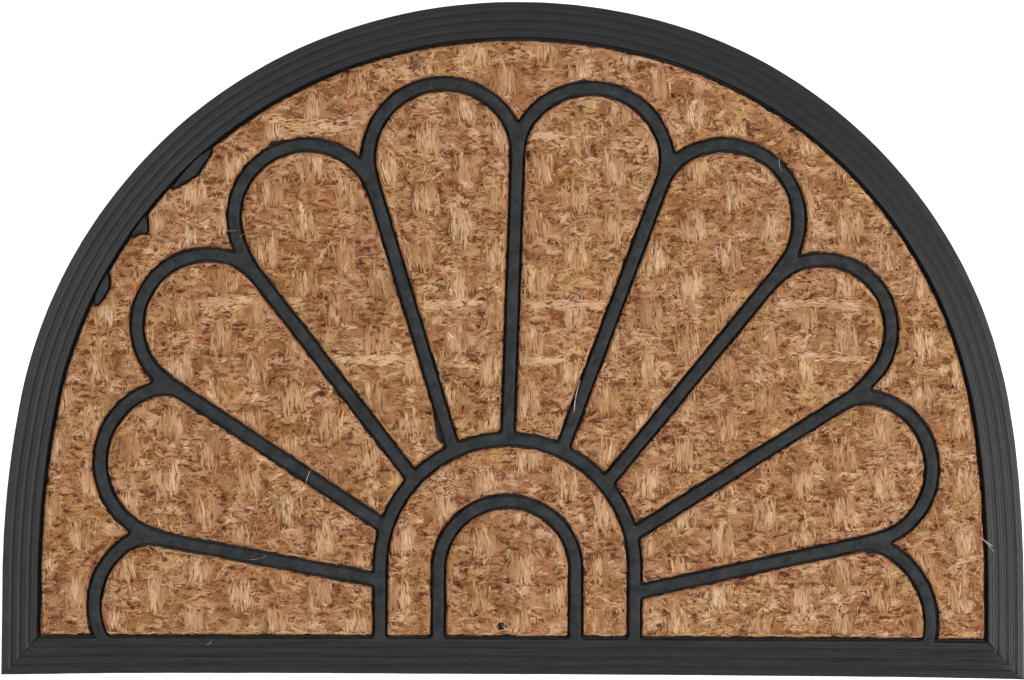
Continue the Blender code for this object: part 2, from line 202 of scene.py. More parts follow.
# loose hairs: from x, y to x, y, how far they bow, and their width
HAIRS = [
    (-118.4, 120.1, -121.5, 112.1, 0.2, 0.26),
    (-169.3, 259.8, -162.3, 260.0, 0.1, 0.14),
    (-160.9, 256.4, -157.0, 259.0, -0.4, 0.2),
    (39.2, 173.5, 35.4, 154.4, 0.15, 0.4),
    (274.8, 82.9, 281.3, 76.4, -0.2, 0.34),
    (278.9, 79.4, 281.9, 77.0, 0.3, 0.42),
    (277.8, 80.3, 283.4, 72.9, 0.2, 0.2),
    (155.5, 304.7, 156.4, 296.4, 0.5, 0.2),
    (-153.7, 66.4, -143.4, 68.8, 0.3, 0.16),
    (-151.0, 120.8, -149.7, 90.2, 0.15, 0.24),
    (-179.0, 16.3, -174.9, 19.5, 0.5, 0.16),
    (-12.0, 34.1, -2.6, 31.8, 0.5, 0.34),
    (-10.2, 30.9, -2.0, 33.9, 0.6, 0.3),
    (-5.0, 36.8, -6.7, 30.3, 0.3, 0.26),
    (-7.9, 26.2, 0.4, 27.1, -0.6, 0.32),
    (-6.1, 28.9, -0.8, 25.7, 0.5, 0.26),
]
HAIR_COLOUR = (200, 182, 160)

# single pale yarns: from x, to x, y in the middle of the mat, and half their thickness
YARNS = [
    (-183.0, -125.0, 217.8, 1.6),
    (-66.0, -19.0, 217.8, 1.6),
    (8.0, 54.0, 218.0, 1.6),
    (158.0, 202.0, 217.8, 1.6),
    (-112.0, -54.0, 185.8, 1.5),
    (8.0, 30.0, 185.8, 1.3),
    (172.0, 208.0, 186.5, 1.2),
    (-142.0, -92.0, 322.0, 1.8),
    (9.0, 48.0, 317.0, 0.8),
]
YARN_FIBRES = 2.6

# coir's usual colour, how red, green and blue follow when a fibre is lighter or darker, and
# how light a fibre is before it only slowly gets lighter
COIR = (175.0, 132.5, 94.0)
FOLLOW = np.array([0.64, 1.0, 1.47])
FOLLOW_FINELY = np.array([0.74, 1.0, 1.41])
# FOLLOW_IN_GAPS is how the colour follows the painted shade over gaps, at the ends and at the border
FOLLOW_IN_GAPS = np.array([0.52, 1.0, 1.52])
BRIGHT = 0.42
ROSY = np.array([0.045, -0.035, 0.0])
GOLDEN = np.array([0.0, 0.0, -0.15])

# painted shade: how much darker a fibre's colour is made over a gap, down in it, and where it turns down
# at the border
GAP_SHADE = 0.6
DEEP_SHADE = 1.4
EDGE_SHADE = 0.9
EDGE_REACH = 2.3

# painted light and shade: a fibre is lighter on its side towards LIT_SIDE and darker on the other, and
# its ends take on the usual tint of its kind
LIT_SIDE = (0.5, 0.87)
PAINTED_SIDE_LIGHT = 0.10
END_BLEND = 0.6

# painted shade: dark specks between the fibres, for the hollows one looks down into: how fine they are,
# how they crowd together, and where they start
SPECK_SCALE = 350.0
CLUSTER_SCALE = 80.0
CLUSTER_SHARE = 0.35
SPECK_LOW = 0.462
SPECK_HIGH = 0.62

# streaks along the rim: their stretch along and across it, and their strength on arch and base
STREAK_STRETCH = (18.0, 900.0, 1.0)
STREAKS = 0.40
STREAKS_ON_BASE = 1.15

# floor and light
FLOOR_SIZE = 60.0
FLOOR_Z = -0.0002
FLOOR_GLOW = 0.62
WORLD_STRENGTH = 0.44
LAMPS = [
    ("key_light", (2.20, -0.50, 2.15), 2.0, 88.0),
    ("fill_light", (-1.50, 0.36, 2.30), 0.9, 27.0),
]

# the photograph looks straight down on the mat
CAMERA_HEIGHT = 4.0
CAMERA_AT = (-0.00069, -0.00112)
CAMERA_TURN = 0.0049
VIEW_WIDTH = 0.6019
VIEW_PLANE_Z = 0.004
SENSOR = 36.0


def on_line(line, distance):
    x, y, bearing = line
    return (x + distance * math.cos(bearing), y + distance * math.sin(bearing))


def line(x, y, bearing):
    return ("line", (x, y, bearing))


def upright(x):
    return line(x, 0.0, math.pi / 2)


def beside(rib, distance):
    """The line alongside a rib; a positive distance is to its left, looking outward."""
    x, y, bearing = rib
    return line(x - distance * math.sin(bearing), y + distance * math.cos(bearing), bearing)


def circle(centre_x, centre_y, radius, turn=1):
    return ("circle", (centre_x, centre_y, radius), turn)


def meet(first, second, near):
    """The crossing of two lines or circles that is nearest to a given point."""
    if first[0] == "circle" and second[0] == "line":
        return meet(second, first, near)
    if first[0] == "line" and second[0] == "line":
        x1, y1, t1 = first[1]
        x2, y2, t2 = second[1]
        along = ((x2 - x1) * math.sin(t2) - (y2 - y1) * math.cos(t2)) / math.sin(t2 - t1)
        return on_line(first[1], along)
    if first[0] == "line":
        x, y, t = first[1]
        cx, cy, r = second[1]
        middle = (cx - x) * math.cos(t) + (cy - y) * math.sin(t)
        off = (cx - x) * math.sin(t) - (cy - y) * math.cos(t)
        half = math.sqrt(max(r * r - off * off, 0.0))
        found = [on_line(first[1], middle - half), on_line(first[1], middle + half)]
    else:
        x1, y1, r1 = first[1]
        x2, y2, r2 = second[1]
        gap = math.hypot(x2 - x1, y2 - y1)
        ux = (x2 - x1) / gap
        uy = (y2 - y1) / gap
        along = (r1 * r1 - r2 * r2 + gap * gap) / (2 * gap)
        half = math.sqrt(max(r1 * r1 - along * along, 0.0))
        px = x1 + along * ux
        py = y1 + along * uy
        found = [(px - half * uy, py + half * ux), (px + half * uy, py - half * ux)]
    return min(found, key=lambda point: math.dist(point, near))


def run(edge, start, end, cut_start, cut_end):
    """Points along one edge, with both of its ends cut back to make room for rounding."""
    if edge[0] == "line":
        length = math.dist(start, end)
        ux = (end[0] - start[0]) / length
        uy = (end[1] - start[1]) / length
        room = length - cut_start - cut_end
        steps = max(2, round(room / LOOP_STEP))
        alongs = [cut_start + room * i / steps for i in range(steps + 1)]
        return [(start[0] + ux * along, start[1] + uy * along) for along in alongs]
    cx, cy, r = edge[1]
    turn = edge[2]
    first = math.atan2(start[1] - cy, start[0] - cx)
    last = math.atan2(end[1] - cy, end[0] - cx)
    if turn > 0 and last < first:
        last += 2 * math.pi
    if turn < 0 and last > first:
        last -= 2 * math.pi
    first += turn * cut_start / r
    last -= turn * cut_end / r
    steps = max(2, round(abs(last - first) * r / LOOP_STEP))
    angles = [first + (last - first) * i / steps for i in range(steps + 1)]
    return [(cx + r * math.cos(a), cy + r * math.sin(a)) for a in angles]


def rounded(before, corner, after):
    """Points of a round between two edges, without its two ends."""
    points = []
    for i in range(1, ROUNDING_STEPS):
        t = i / ROUNDING_STEPS
        a = (1 - t) ** 2
        b = 2 * t * (1 - t)
        c = t * t
        x = a * before[0] + b * corner[0] + c * after[0]
        y = a * before[1] + b * corner[1] + c * after[1]
        points.append((x, y))
    return points


def trace(path):
    """A closed loop from a list of (corner, rounding, edge that leaves it)."""
    runs = []
    for i, (corner, cut, edge) in enumerate(path):
        following = path[(i + 1) % len(path)]
        runs.append(run(edge, corner, following[0], cut, following[1]))
    loop = []
    for i, (corner, cut, edge) in enumerate(path):
        if cut > 0:
            loop.extend(rounded(runs[i - 1][-1], corner, runs[i][0]))
            loop.extend(runs[i])
        else:
            loop.extend(runs[i][1:])
    return loop


def arch_side(inset):
    """The right half of the outline above its straight foot, drawn in, up to the top."""
    crown_start = math.radians(CROWN_STARTS)
    haunch_start = math.radians(HAUNCH_STARTS)
    crown = (0.0, MAT_DEPTH - CROWN_RADIUS)
    step_in = CROWN_RADIUS - HAUNCH_RADIUS
    haunch = (crown[0] + step_in * math.cos(crown_start), crown[1] + step_in * math.sin(crown_start))
    step_in = HAUNCH_RADIUS - FLANK_RADIUS
    flank = (haunch[0] + step_in * math.cos(haunch_start), haunch[1] + step_in * math.sin(haunch_start))
    spans = [
        (flank, FLANK_RADIUS, 0.0, haunch_start),
        (haunch, HAUNCH_RADIUS, haunch_start, crown_start),
        (crown, CROWN_RADIUS, crown_start, math.pi / 2),
    ]
    side = []
    for centre, radius, low, high in spans:
        steps = round((high - low) * radius / ARCH_STEP)
        r = radius - inset
        for i in range(steps):
            a = low + (high - low) * i / steps
            side.append((centre[0] + r * math.cos(a), centre[1] + r * math.sin(a)))
    return side


def half_round(inset, base_inset):
    """The outline drawn in: (x, y, share of the mitre groove) from the right corner round to it."""
    side = arch_side(inset)
    edge_x = side[0][0]
    rise = side[0][1] - base_inset
    foot_y = base_inset + MITRE_HALF_WIDTH
    flank = [(edge_x, base_inset, 1.0), (edge_x, foot_y, 0.0)]
    for i in range(1, FLANK_FOOT_STEPS):
        flank.append((edge_x, foot_y + (rise - MITRE_HALF_WIDTH) * i / FLANK_FOOT_STEPS, 0.0))
    right = flank + [(x, y, 0.0) for x, y in side]
    left = [(-x, y, sunk) for x, y, sunk in reversed(right)]
    near_corner = edge_x - MITRE_HALF_WIDTH
    base = []
    for i in range(BASE_STEPS + 1):
        base.append((-near_corner + 2 * near_corner * i / BASE_STEPS, base_inset, 0.0))
    whole = right + [(0.0, MAT_DEPTH - inset, 0.0)] + left + base
    return [(x + OUTLINE_LEAN * y, y, sunk) for x, y, sunk in whole]


def fields(inset, rim_inset):
    """The loops round the openings between the ribs, drawn in by an inset from the ribs and the rim."""
    away = RIB_WIDTH / 2 + inset
    ribs = [(x, y, math.radians(bearing)) for x, y, bearing in RIBS]
    base_y = RIM_ON_BASE + rim_inset
    base = line(0.0, base_y, 0.0)
    hub_x, hub_y, hub_r = HUB_ARCH
    door_x, door_y, door_r = DOOR_ARCH
    foot = (hub_x, hub_y)
    loops = []

    # the eight petals between two ribs
    for i in range(1, len(ribs)):
        cx, cy, r = PETAL_ENDS[i]
        end = circle(cx, cy, r - away)
        hub = circle(hub_x, hub_y, hub_r + away, -1)
        right = beside(ribs[i - 1], away)
        left = beside(ribs[i], -away)
        tips = [
            (meet(right, end, on_line(right[1], MAT_DEPTH)), TIP_ROUNDING, end),
            (meet(left, end, on_line(left[1], MAT_DEPTH)), TIP_ROUNDING, left),
        ]
        feet = [
            (meet(left, hub, (cx, cy)), FOOT_ROUNDING, hub),
            (meet(right, hub, (cx, cy)), FOOT_ROUNDING, right),
        ]
        if i == 1:
            leg_x = hub_x + hub_r + away
            leg = upright(leg_x)
            feet[1:] = [((leg_x, hub_y), 0, leg), (meet(right, leg, foot), FOOT_ROUNDING, right)]
        elif i == len(ribs) - 1:
            leg_x = hub_x - hub_r - away
            leg = upright(leg_x)
            feet[:1] = [(meet(left, leg, foot), FOOT_ROUNDING, leg), ((leg_x, hub_y), 0, hub)]
        loops.append(trace(tips + feet))

    # the two half petals that the straight rim cuts off
    for rib, (cx, cy, r), side in ((ribs[0], PETAL_ENDS[0], 1), (ribs[-1], PETAL_ENDS[-1], -1)):
        leg = upright(hub_x + side * (hub_r + away))
        end = circle(cx, cy, r - away, side)
        top = beside(rib, -side * away)
        path = [
            (meet(leg, base, foot), FOOT_ROUNDING, base),
            (meet(base, end, (cx + side * r, 0)), FOOT_ROUNDING, end),
            (meet(top, end, on_line(top[1], MAT_DEPTH)), TIP_ROUNDING, top),
            (meet(top, leg, foot), FOOT_ROUNDING, leg),
        ]
        loop = trace(path)
        loops.append(loop if side > 0 else loop[::-1])

    # the band between the two arches, and the opening under the small one
    outer = hub_r - away
    inner = door_r + away
    path = [
        ((door_x + inner, base_y), FOOT_ROUNDING, base),
        ((hub_x + outer, base_y), FOOT_ROUNDING, upright(hub_x + outer)),
        ((hub_x + outer, hub_y), 0, circle(hub_x, hub_y, outer)),
        ((hub_x - outer, hub_y), 0, upright(hub_x - outer)),
        ((hub_x - outer, base_y), FOOT_ROUNDING, base),
        ((door_x - inner, base_y), FOOT_ROUNDING, upright(door_x - inner)),
        ((door_x - inner, door_y), 0, circle(door_x, door_y, inner, -1)),
        ((door_x + inner, door_y), 0, upright(door_x + inner)),
    ]
    loops.append(trace(path))
    inner = door_r - away
    path = [
        ((door_x - inner, base_y), FOOT_ROUNDING, base),
        ((door_x + inner, base_y), FOOT_ROUNDING, upright(door_x + inner)),
        ((door_x + inner, door_y), 0, circle(door_x, door_y, inner)),
        ((door_x - inner, door_y), 0, upright(door_x - inner)),
    ]
    loops.append(trace(path))

    # the band outside the petals
    rim_side = [(x, y) for x, y, sunk in half_round(RIM_ON_ARCH + rim_inset, base_y)[:-BASE_STEPS - 1]]
    loops.append(rim_side + scallops(away, base_y))
    return loops


def scallops(away, floor_y):
    """The outer side of the petal ends, from the left foot over all ten to the right foot."""
    ends = [circle(cx, cy, r + away, -1) for cx, cy, r in reversed(PETAL_ENDS)]
    floor = line(0.0, floor_y, 0.0)
    corners = [meet(floor, ends[0], (ends[0][1][0] - ends[0][1][2], 0.0))]
    for first, second in zip(ends, ends[1:]):
        outward = (first[1][0] * 3, first[1][1] * 3)
        corners.append(meet(first, second, outward))
    corners.append(meet(floor, ends[-1], (ends[-1][1][0] + ends[-1][1][2], 0.0)))
    points = []
    for i, end in enumerate(ends):
        cut_start = CUSP_ROUNDING if i else 0.0
        cut_end = CUSP_ROUNDING if i < len(ends) - 1 else 0.0
        span = run(end, corners[i], corners[i + 1], cut_start, cut_end)
        if i:
            points.extend(rounded(points[-1], corners[i], span[0]))
        points.extend(span)
    return points


def softened(shapes):
    """Closed clockwise loops from rough ones, with each corner cut twice."""
    loops = []
    for shape in shapes:
        points = np.array(shape)
        for _ in range(2):
            after = np.roll(points, -1, axis=0)
            pairs = [0.75 * points + 0.25 * after, 0.25 * points + 0.75 * after]
            points = np.stack(pairs, 1).reshape(-1, 2)
        after = np.roll(points, -1, axis=0)
        area = (points[:, 0] * after[:, 1] - points[:, 1] * after[:, 0]).sum()
        if area > 0:
            points = points[::-1]
        loops.append([tuple(point) for point in points])
    return loops


def grain(x, y, cell, seed):
    """Smooth noise from -1 to 1 that is the same at every run."""
    gx = np.asarray(x, float) / cell
    gy = np.asarray(y, float) / cell
    ix = np.floor(gx).astype(np.int64)
    iy = np.floor(gy).astype(np.int64)
    fx = gx - ix
    fy = gy - iy
    fx = fx * fx * (3 - 2 * fx)
    fy = fy * fy * (3 - 2 * fy)

    def corner(i, j):
        mixed = (i * 374761393 + j * 668265263 + seed * 362437) & 0x7FFFFFFF
        mixed = ((mixed ^ (mixed >> 13)) * 1274126177) & 0x7FFFFFFF
        mixed = ((mixed ^ (mixed >> 15)) * 2246822519) & 0x7FFFFFFF
        return (mixed ^ (mixed >> 16)) / 0x3FFFFFFF - 1.0

    low = corner(ix, iy) * (1 - fx) + corner(ix + 1, iy) * fx
    high = corner(ix, iy + 1) * (1 - fx) + corner(ix + 1, iy + 1) * fx
    return low * (1 - fy) + high * fy


class PlanMap:
    """How far each point of the plan is from the nearest rib or the rim; positive on the coir.

    The distance wanders a little, because the border of the coir is ragged. from_rim says how
    far each point is inside the rim's inner edge.
    """

    def __init__(self, openings, border, bare, inner_rim):
        self.columns = int((MAP_HIGH[0] - MAP_LOW[0]) / MAP_PITCH) + 1
        self.rows = int((MAP_HIGH[1] - MAP_LOW[1]) / MAP_PITCH) + 1
        near_rib, in_opening = self.traced(openings)
        near_bare, on_bare = self.traced(bare)
        near_border = self.traced([border])[0]
        near = np.minimum(np.minimum(near_rib, near_bare), near_border)
        x = (MAP_LOW[0] + MAP_PITCH * np.arange(self.columns))[None, :]
        y = (MAP_LOW[1] + MAP_PITCH * np.arange(self.rows))[:, None]
        ragged = grain(x, y, 6.0, 71) + 0.5 * grain(x, y, 2.4, 72)
        self.distance = np.where(in_opening & ~on_bare, near, -near) + EDGE_WOBBLE * ragged
        self.slope_y, self.slope_x = np.gradient(self.distance, MAP_PITCH)
        near_rim, in_rim = self.traced([inner_rim])
        self.from_rim = np.where(in_rim, near_rim, -near_rim)

    def cell(self, x, y):
        return ((x - MAP_LOW[0]) / MAP_PITCH, (y - MAP_LOW[1]) / MAP_PITCH)

    def traced(self, loops):
        """How near each point is to the closest of some loops, and whether one is round it."""
        near = np.full((self.rows, self.columns), MAP_REACH)
        within = np.zeros((self.rows, self.columns), bool)
        for loop in loops:
            for start, end in zip(loop, loop[1:] + loop[:1]):
                self.stamp(near, *start, *end)
                self.flip(within, *start, *end)
        return near, within

    def stamp(self, near, x0, y0, x1, y1):
        """Lowers the distances round one side of a loop."""
        low_c, low_r = self.cell(min(x0, x1) - MAP_REACH, min(y0, y1) - MAP_REACH)
        high_c, high_r = self.cell(max(x0, x1) + MAP_REACH, max(y0, y1) + MAP_REACH)
        c0 = max(0, int(low_c))
        c1 = min(self.columns, int(high_c) + 2)
        r0 = max(0, int(low_r))
        r1 = min(self.rows, int(high_r) + 2)
        dx = x1 - x0
        dy = y1 - y0
        length = dx * dx + dy * dy
        if c0 >= c1 or r0 >= r1 or length < 1e-12:
            return
        px = (MAP_LOW[0] + MAP_PITCH * np.arange(c0, c1))[None, :]
        py = (MAP_LOW[1] + MAP_PITCH * np.arange(r0, r1))[:, None]
        s = np.clip(((px - x0) * dx + (py - y0) * dy) / length, 0, 1)
        reach = np.hypot(px - x0 - s * dx, py - y0 - s * dy)
        near[r0:r1, c0:c1] = np.minimum(near[r0:r1, c0:c1], reach)

    def flip(self, within, x0, y0, x1, y1):
        """Flips all that is to the left of one side, so that a whole loop flips its inside."""
        low, high = sorted((y0, y1))
        first = max(0, math.ceil(self.cell(0, low)[1]))
        last = min(self.rows - 1, math.ceil(self.cell(0, high)[1]) - 1)
        for row in range(first, last + 1):
            y = MAP_LOW[1] + MAP_PITCH * row
            x = x0 + (x1 - x0) * (y - y0) / (y1 - y0)
            stop = int(np.clip(math.ceil(self.cell(x, 0)[0]), 0, self.columns))
            within[row, :stop] ^= True

    def read(self, table, x, y):
        c, r = self.cell(np.asarray(x, float), np.asarray(y, float))
        c = np.clip(c, 0, self.columns - 1.001)
        r = np.clip(r, 0, self.rows - 1.001)
        ic = c.astype(int)
        ir = r.astype(int)
        fc = c - ic
        fr = r - ir
        low = table[ir, ic] * (1 - fc) + table[ir, ic + 1] * fc
        high = table[ir + 1, ic] * (1 - fc) + table[ir + 1, ic + 1] * fc
        return low * (1 - fr) + high * fr

    def depth(self, x, y):
        return self.read(self.distance, x, y)

    def slope(self, x, y):
        return self.read(self.slope_x, x, y), self.read(self.slope_y, x, y)


def place(points):
    """Plan millimetres to the frame's metres; the bottom corners sag and the right one juts out."""
    moved = np.array(points, float)
    across = moved[..., 0] / CORNER_X
    sag = np.where(across < 0, SAG_LEFT, SAG_RIGHT) * across ** 4
    fading = np.clip(1 - moved[..., 1] / SAG_REACH, 0, 1)
    moved[..., 0] += np.where(across > 0, JUT_RIGHT, 0.0) * across ** 4 * fading ** 1.3
    moved[..., 1] -= sag * fading ** 2
    moved[..., 0] -= SHIFT[0]
    moved[..., 1] -= SHIFT[1]
    return moved * MM


def crossing(column, row):
    """Where a warp strand pair crosses a weft band."""
    x = WEAVE_CENTRE[0] + column * (WARP_PITCH - WARP_NARROWING * row) + WARP_SLANT * row
    y = WEAVE_CENTRE[1] + row * (WEFT_PITCH + WEFT_WIDENING * row) + WEFT_DROOP * column * column
    return x, y


def weave_place(x, y):
    """Column and row of the weave at plan points, as fractions."""
    column = (x - WEAVE_CENTRE[0]) / WARP_PITCH
    row = np.zeros_like(column)
    for _ in range(4):
        row = (y - WEAVE_CENTRE[1] - WEFT_DROOP * column * column) / (WEFT_PITCH + WEFT_WIDENING * row)
        column = (x - WEAVE_CENTRE[0] - WARP_SLANT * row) / (WARP_PITCH - WARP_NARROWING * row)
    return column, row


def weave_cell(x, y):
    """The crossing nearest to each plan point, how far off it is, and whether a float shows there."""
    column, row = weave_place(x, y)
    near_column = np.round(column)
    near_row = np.round(row)
    across = (column - near_column) * WARP_PITCH
    along = (row - near_row) * WEFT_PITCH
    raised = (near_column + near_row) % 2 == 0
    return near_column, near_row, across, along, raised


def pillow(depth):
    """Height of the cloth's swell beside a rib, before the weave."""
    stops = [-1.0, SHELF - 0.1, SHELF + 0.2, SHELF + 1.3, SHELF + 4.2]
    heights = [CHANNEL_FLOOR, CHANNEL_FLOOR, PILLOW_BROW, PILLOW_SHOULDER, PILLOW_SHOULDER + 0.35]
    return np.interp(depth, stops, heights)


def on_float(x, y, margin=0.0):
    """True where a plan point is on a float."""
    across, along, raised = weave_cell(x, y)[2:]
    beside = np.abs(across) < STRAND_OFFSET + STRAND_RADIUS - margin
    return raised & beside & (np.abs(along) < FLOAT_HALF_LENGTH - margin)


def in_pit(x, y):
    """How deep a plan point is in the dark gap at a float's corner, 0 to 1."""
    across, along, raised = weave_cell(x, y)[2:]
    corner = np.hypot(np.abs(across) - 8.0, np.abs(along) - 8.0)
    share = np.clip(0.45 + 1.3 * grain(x, y, 9.0, 7), 0, 1)
    return np.where(raised, np.exp(-(corner / 2.3) ** 2), 0.0) * share


def beside_float(x, y):
    """How near a plan point is to the dark sides of a float, where the weft dips and is given painted
    shade, 0 to 1.
    """
    across, along, raised = weave_cell(x, y)[2:]
    beside = np.exp(-((np.abs(across) - 10.3) / 2.6) ** 2)
    return np.where(raised, beside, 0.0) * np.clip(9.5 - np.abs(along), 0, 1)


def crevice(x, y):
    """How deep a plan point is in one of the dark gaps of the matted weft, 0 to 1."""
    along = weave_cell(x, y)[3]
    seam = np.exp(-((np.abs(along) - WEFT_PITCH / 2) / 1.8) ** 2)
    streak = grain(0.6 * x, y + 0.10 * x, 1.8, 51) + 0.6 * grain(x, 0.8 * y, 1.6, 53)
    share = streak - 0.62 + 0.40 * seam + 0.22 * grain(x, y, 11.0, 52) + 0.14 * beside_float(x, y)
    return np.clip(share / 0.35, 0, 1) * np.where(on_float(x, y, 1.0), 0.12, 1.0)


def relief(x, y):
    """Height of the top of the coir, without its gaps."""
    depth = plan_map.depth(x, y)
    near_column, near_row, across, along, raised = weave_cell(x, y)
    column = near_column + across / WARP_PITCH
    lean = across - along * 0.10 * grain(near_column * 3.7, near_row * 3.7, 1.0, 5)
    strand = np.abs(np.abs(lean) - STRAND_OFFSET) / STRAND_RADIUS
    round_over = np.clip(1 - strand * strand, 0, 1) ** 0.8
    arch = np.sqrt(np.clip(np.cos(along / FLOAT_HALF_LENGTH * math.pi / 2), 0, 1))
    warp = 1.30 * round_over * arch - 0.50
    swell = -0.35 * np.cos(math.pi * (column + near_row)) - 0.30 * np.sin(math.pi * column) ** 2
    twist = 0.22 * np.abs(np.sin(4 * math.pi * along / WEFT_PITCH + 0.9 * grain(x, y, 9.0, 6)))
    edge = 0.55 * np.abs(2 * along / WEFT_PITCH) ** 5
    weft = swell + twist - edge
    weave = np.where(raised & (strand < 1), np.maximum(warp, weft - 0.5), weft)
    weave = weave - 1.5 * in_pit(x, y)
    lumps = 0.34 * grain(0.6 * x, y, 2.2, 8) + 0.40 * grain(x, y, 5.0, 9)
    share = np.clip((depth - SHELF) / 4.0, 0, 1)
    return pillow(depth) + (weave + lumps) * share


def object_from(name, verts, faces, material, smooth=True):
    """A mesh object from arrays of points in metres and of faces with equally many corners."""
    mesh = bpy.data.meshes.new(name)
    verts = np.asarray(verts, np.float32).reshape(-1, 3)
    faces = np.asarray(faces, np.int32)
    count, corners = faces.shape
    mesh.vertices.add(len(verts))
    mesh.vertices.foreach_set("co", verts.ravel())
    mesh.loops.add(count * corners)
    mesh.loops.foreach_set("vertex_index", faces.ravel())
    mesh.polygons.add(count)
    mesh.polygons.foreach_set("loop_start", np.arange(0, count * corners, corners, dtype=np.int32))
    mesh.update(calc_edges=True)
    mesh.polygons.foreach_set("use_smooth", np.full(count, smooth))
    mesh.materials.append(material)
    thing = bpy.data.objects.new(name, mesh)
    bpy.context.scene.collection.objects.link(thing)
    return thing


def mitre_share(inset):
    """The mitre's groove is faint at the outer corner."""
    return 0.2 + 0.8 * inset / RIM_WALL_ON_ARCH


def rim_profile():
    """Steps across the rim, from the outer edge inward: arch inset, base inset, height, mitre share."""
    climb = (RIM_INNER_Z - RIM_EDGE_Z) / RIM_ON_ARCH
    half = GROOVE_WIDTH / 2
    steps = [(0.0, 0.0, 0.0, 0.0), (0.0, 0.0, RIM_EDGE_Z - 0.7, 0.3), (0.2, 0.2, RIM_EDGE_Z - 0.2, 0.6)]
    before = (0.7, 0.7)
    for on_arch, on_base in RIM_GROOVES + [(RIM_WALL_ON_ARCH, RIM_WALL_ON_BASE)]:
        last = on_arch == RIM_WALL_ON_ARCH
        room = 1.1 if last else half
        after = (on_arch - room, on_base - room)
        for share, lift in RIDGE_SHAPE:
            arch = before[0] + (after[0] - before[0]) * share
            base = before[1] + (after[1] - before[1]) * share
            steps.append((arch, base, RIM_EDGE_Z + climb * arch + lift, mitre_share(arch)))
        if not last:
            for off, sunk in GROOVE_SHAPE:
                z = RIM_EDGE_Z + climb * (on_arch + off * half) - GROOVE_DEPTH * sunk
                steps.append((on_arch + off * half, on_base + off * half, z, mitre_share(on_arch)))
        before = (on_arch + half, on_base + half)
    top = RIM_EDGE_Z + climb * RIM_WALL_ON_ARCH
    for off, drop in ((-0.6, 0.25), (-0.25, 0.6), (-0.05, 1.1)):
        steps.append((RIM_WALL_ON_ARCH + off, RIM_WALL_ON_BASE + off, top - drop, 0.7))
    steps.append((RIM_WALL_ON_ARCH, RIM_WALL_ON_BASE, LEDGE_Z, 0.0))
    steps.append((RIM_ON_ARCH, RIM_ON_BASE, LEDGE_Z - 0.1, 0.0))
    steps.append((RIM_ON_ARCH, RIM_ON_BASE, BACK_SHEET, 0.0))
    return steps


def close(thing, loops):
    """Adds one flat face for each loop of vertex numbers."""
    mesh = bmesh.new()
    mesh.from_mesh(thing.data)
    mesh.verts.ensure_lookup_table()
    for loop in loops:
        mesh.faces.new([mesh.verts[i] for i in loop])
    mesh.to_mesh(thing.data)
    mesh.free()


def rim(material, shaded):
    """The ridged rim and the back sheet as one closed moulding, with a darker inner wall: matte rubber
    there paints the shade of the trough beside the coir.
    """
    profile = rim_profile()
    rings = []
    for arch, base, z, mitre in profile:
        x, y, sunk = np.array(half_round(arch, base)).T
        away = 0.14 * grain(x, y, 46.0, 21) + 0.07 * grain(x, y, 9.0, 22)
        uneven = 0.05 * grain(x, y, 14.0, 23) + 0.03 * grain(x + 3 * z, y, 4.0, 24)
        height = z - sunk * MITRE_DEPTH * mitre + min(1.0, z / RIM_EDGE_Z) * uneven
        middle_x = x - OUTLINE_LEAN * y
        radius = np.hypot(middle_x, y - RIM_MIDDLE_Y) + 1e-9
        on_base = np.abs(y - base) < 1e-6
        way_x = np.where(on_base, 0.0, middle_x / radius)
        way_y = np.where(on_base, 1.0, (y - RIM_MIDDLE_Y) / radius)
        rings.append(np.stack([x + away * way_x, y + away * way_y, height], -1))
    count = len(rings[0])
    points = place(np.concatenate(rings))
    step = np.arange(count)
    following = (step + 1) % count
    bands = []
    for low in range(0, len(points) - count, count):
        high = low + count
        bands.append(np.stack([low + step, low + following, high + following, high + step], -1))
    faces = np.concatenate(bands)
    thing = object_from("rubber_rim", points, faces, material)
    thing.data.materials.append(shaded)
    # painted shade: the last three bands, the inner wall, the ledge and the drop, take the matte rubber
    on_wall = np.repeat(np.arange(len(bands)) >= len(bands) - 3, count)
    thing.data.polygons.foreach_set("material_index", on_wall.astype(np.int32))
    uv = np.zeros((*faces.shape, 2), np.float32)
    uv[..., 0] = along_outline[faces % count]
    uv[..., 1] = np.array(profile)[faces // count, 0] * MM
    layer = thing.data.uv_layers.new(name="along_rim")
    layer.data.foreach_set("uv", uv.ravel())
    close(thing, [range(count)[::-1], range(len(points) - count, len(points))])
    sharpen(thing, 40)
    return thing


def sharpen(thing, degrees):
    thing.data.shade_smooth()
    thing.data.set_sharp_from_angle(angle=math.radians(degrees))


def wandering(loop, seed, broad, fine):
    """A loop whose edge wanders a little, as moulded rubber that was pressed into fibre does."""
    points = np.array(loop, float)
    before = np.roll(points, 1, axis=0)
    after = np.roll(points, -1, axis=0)
    way = after - before
    way /= np.maximum(np.hypot(way[:, 0], way[:, 1]), 1e-9)[:, None]
    across = np.stack([way[:, 1], -way[:, 0]], -1)
    x = points[:, 0]
    y = points[:, 1]
    push = broad * grain(x, y, 17.0, seed) + fine * grain(x, y, 3.3, seed + 1)
    push += fine * 2.2 * np.clip(grain(x, y, 6.0, seed + 2) - 0.55, 0, 1)
    return [tuple(p) for p in points + across * push[:, None]]


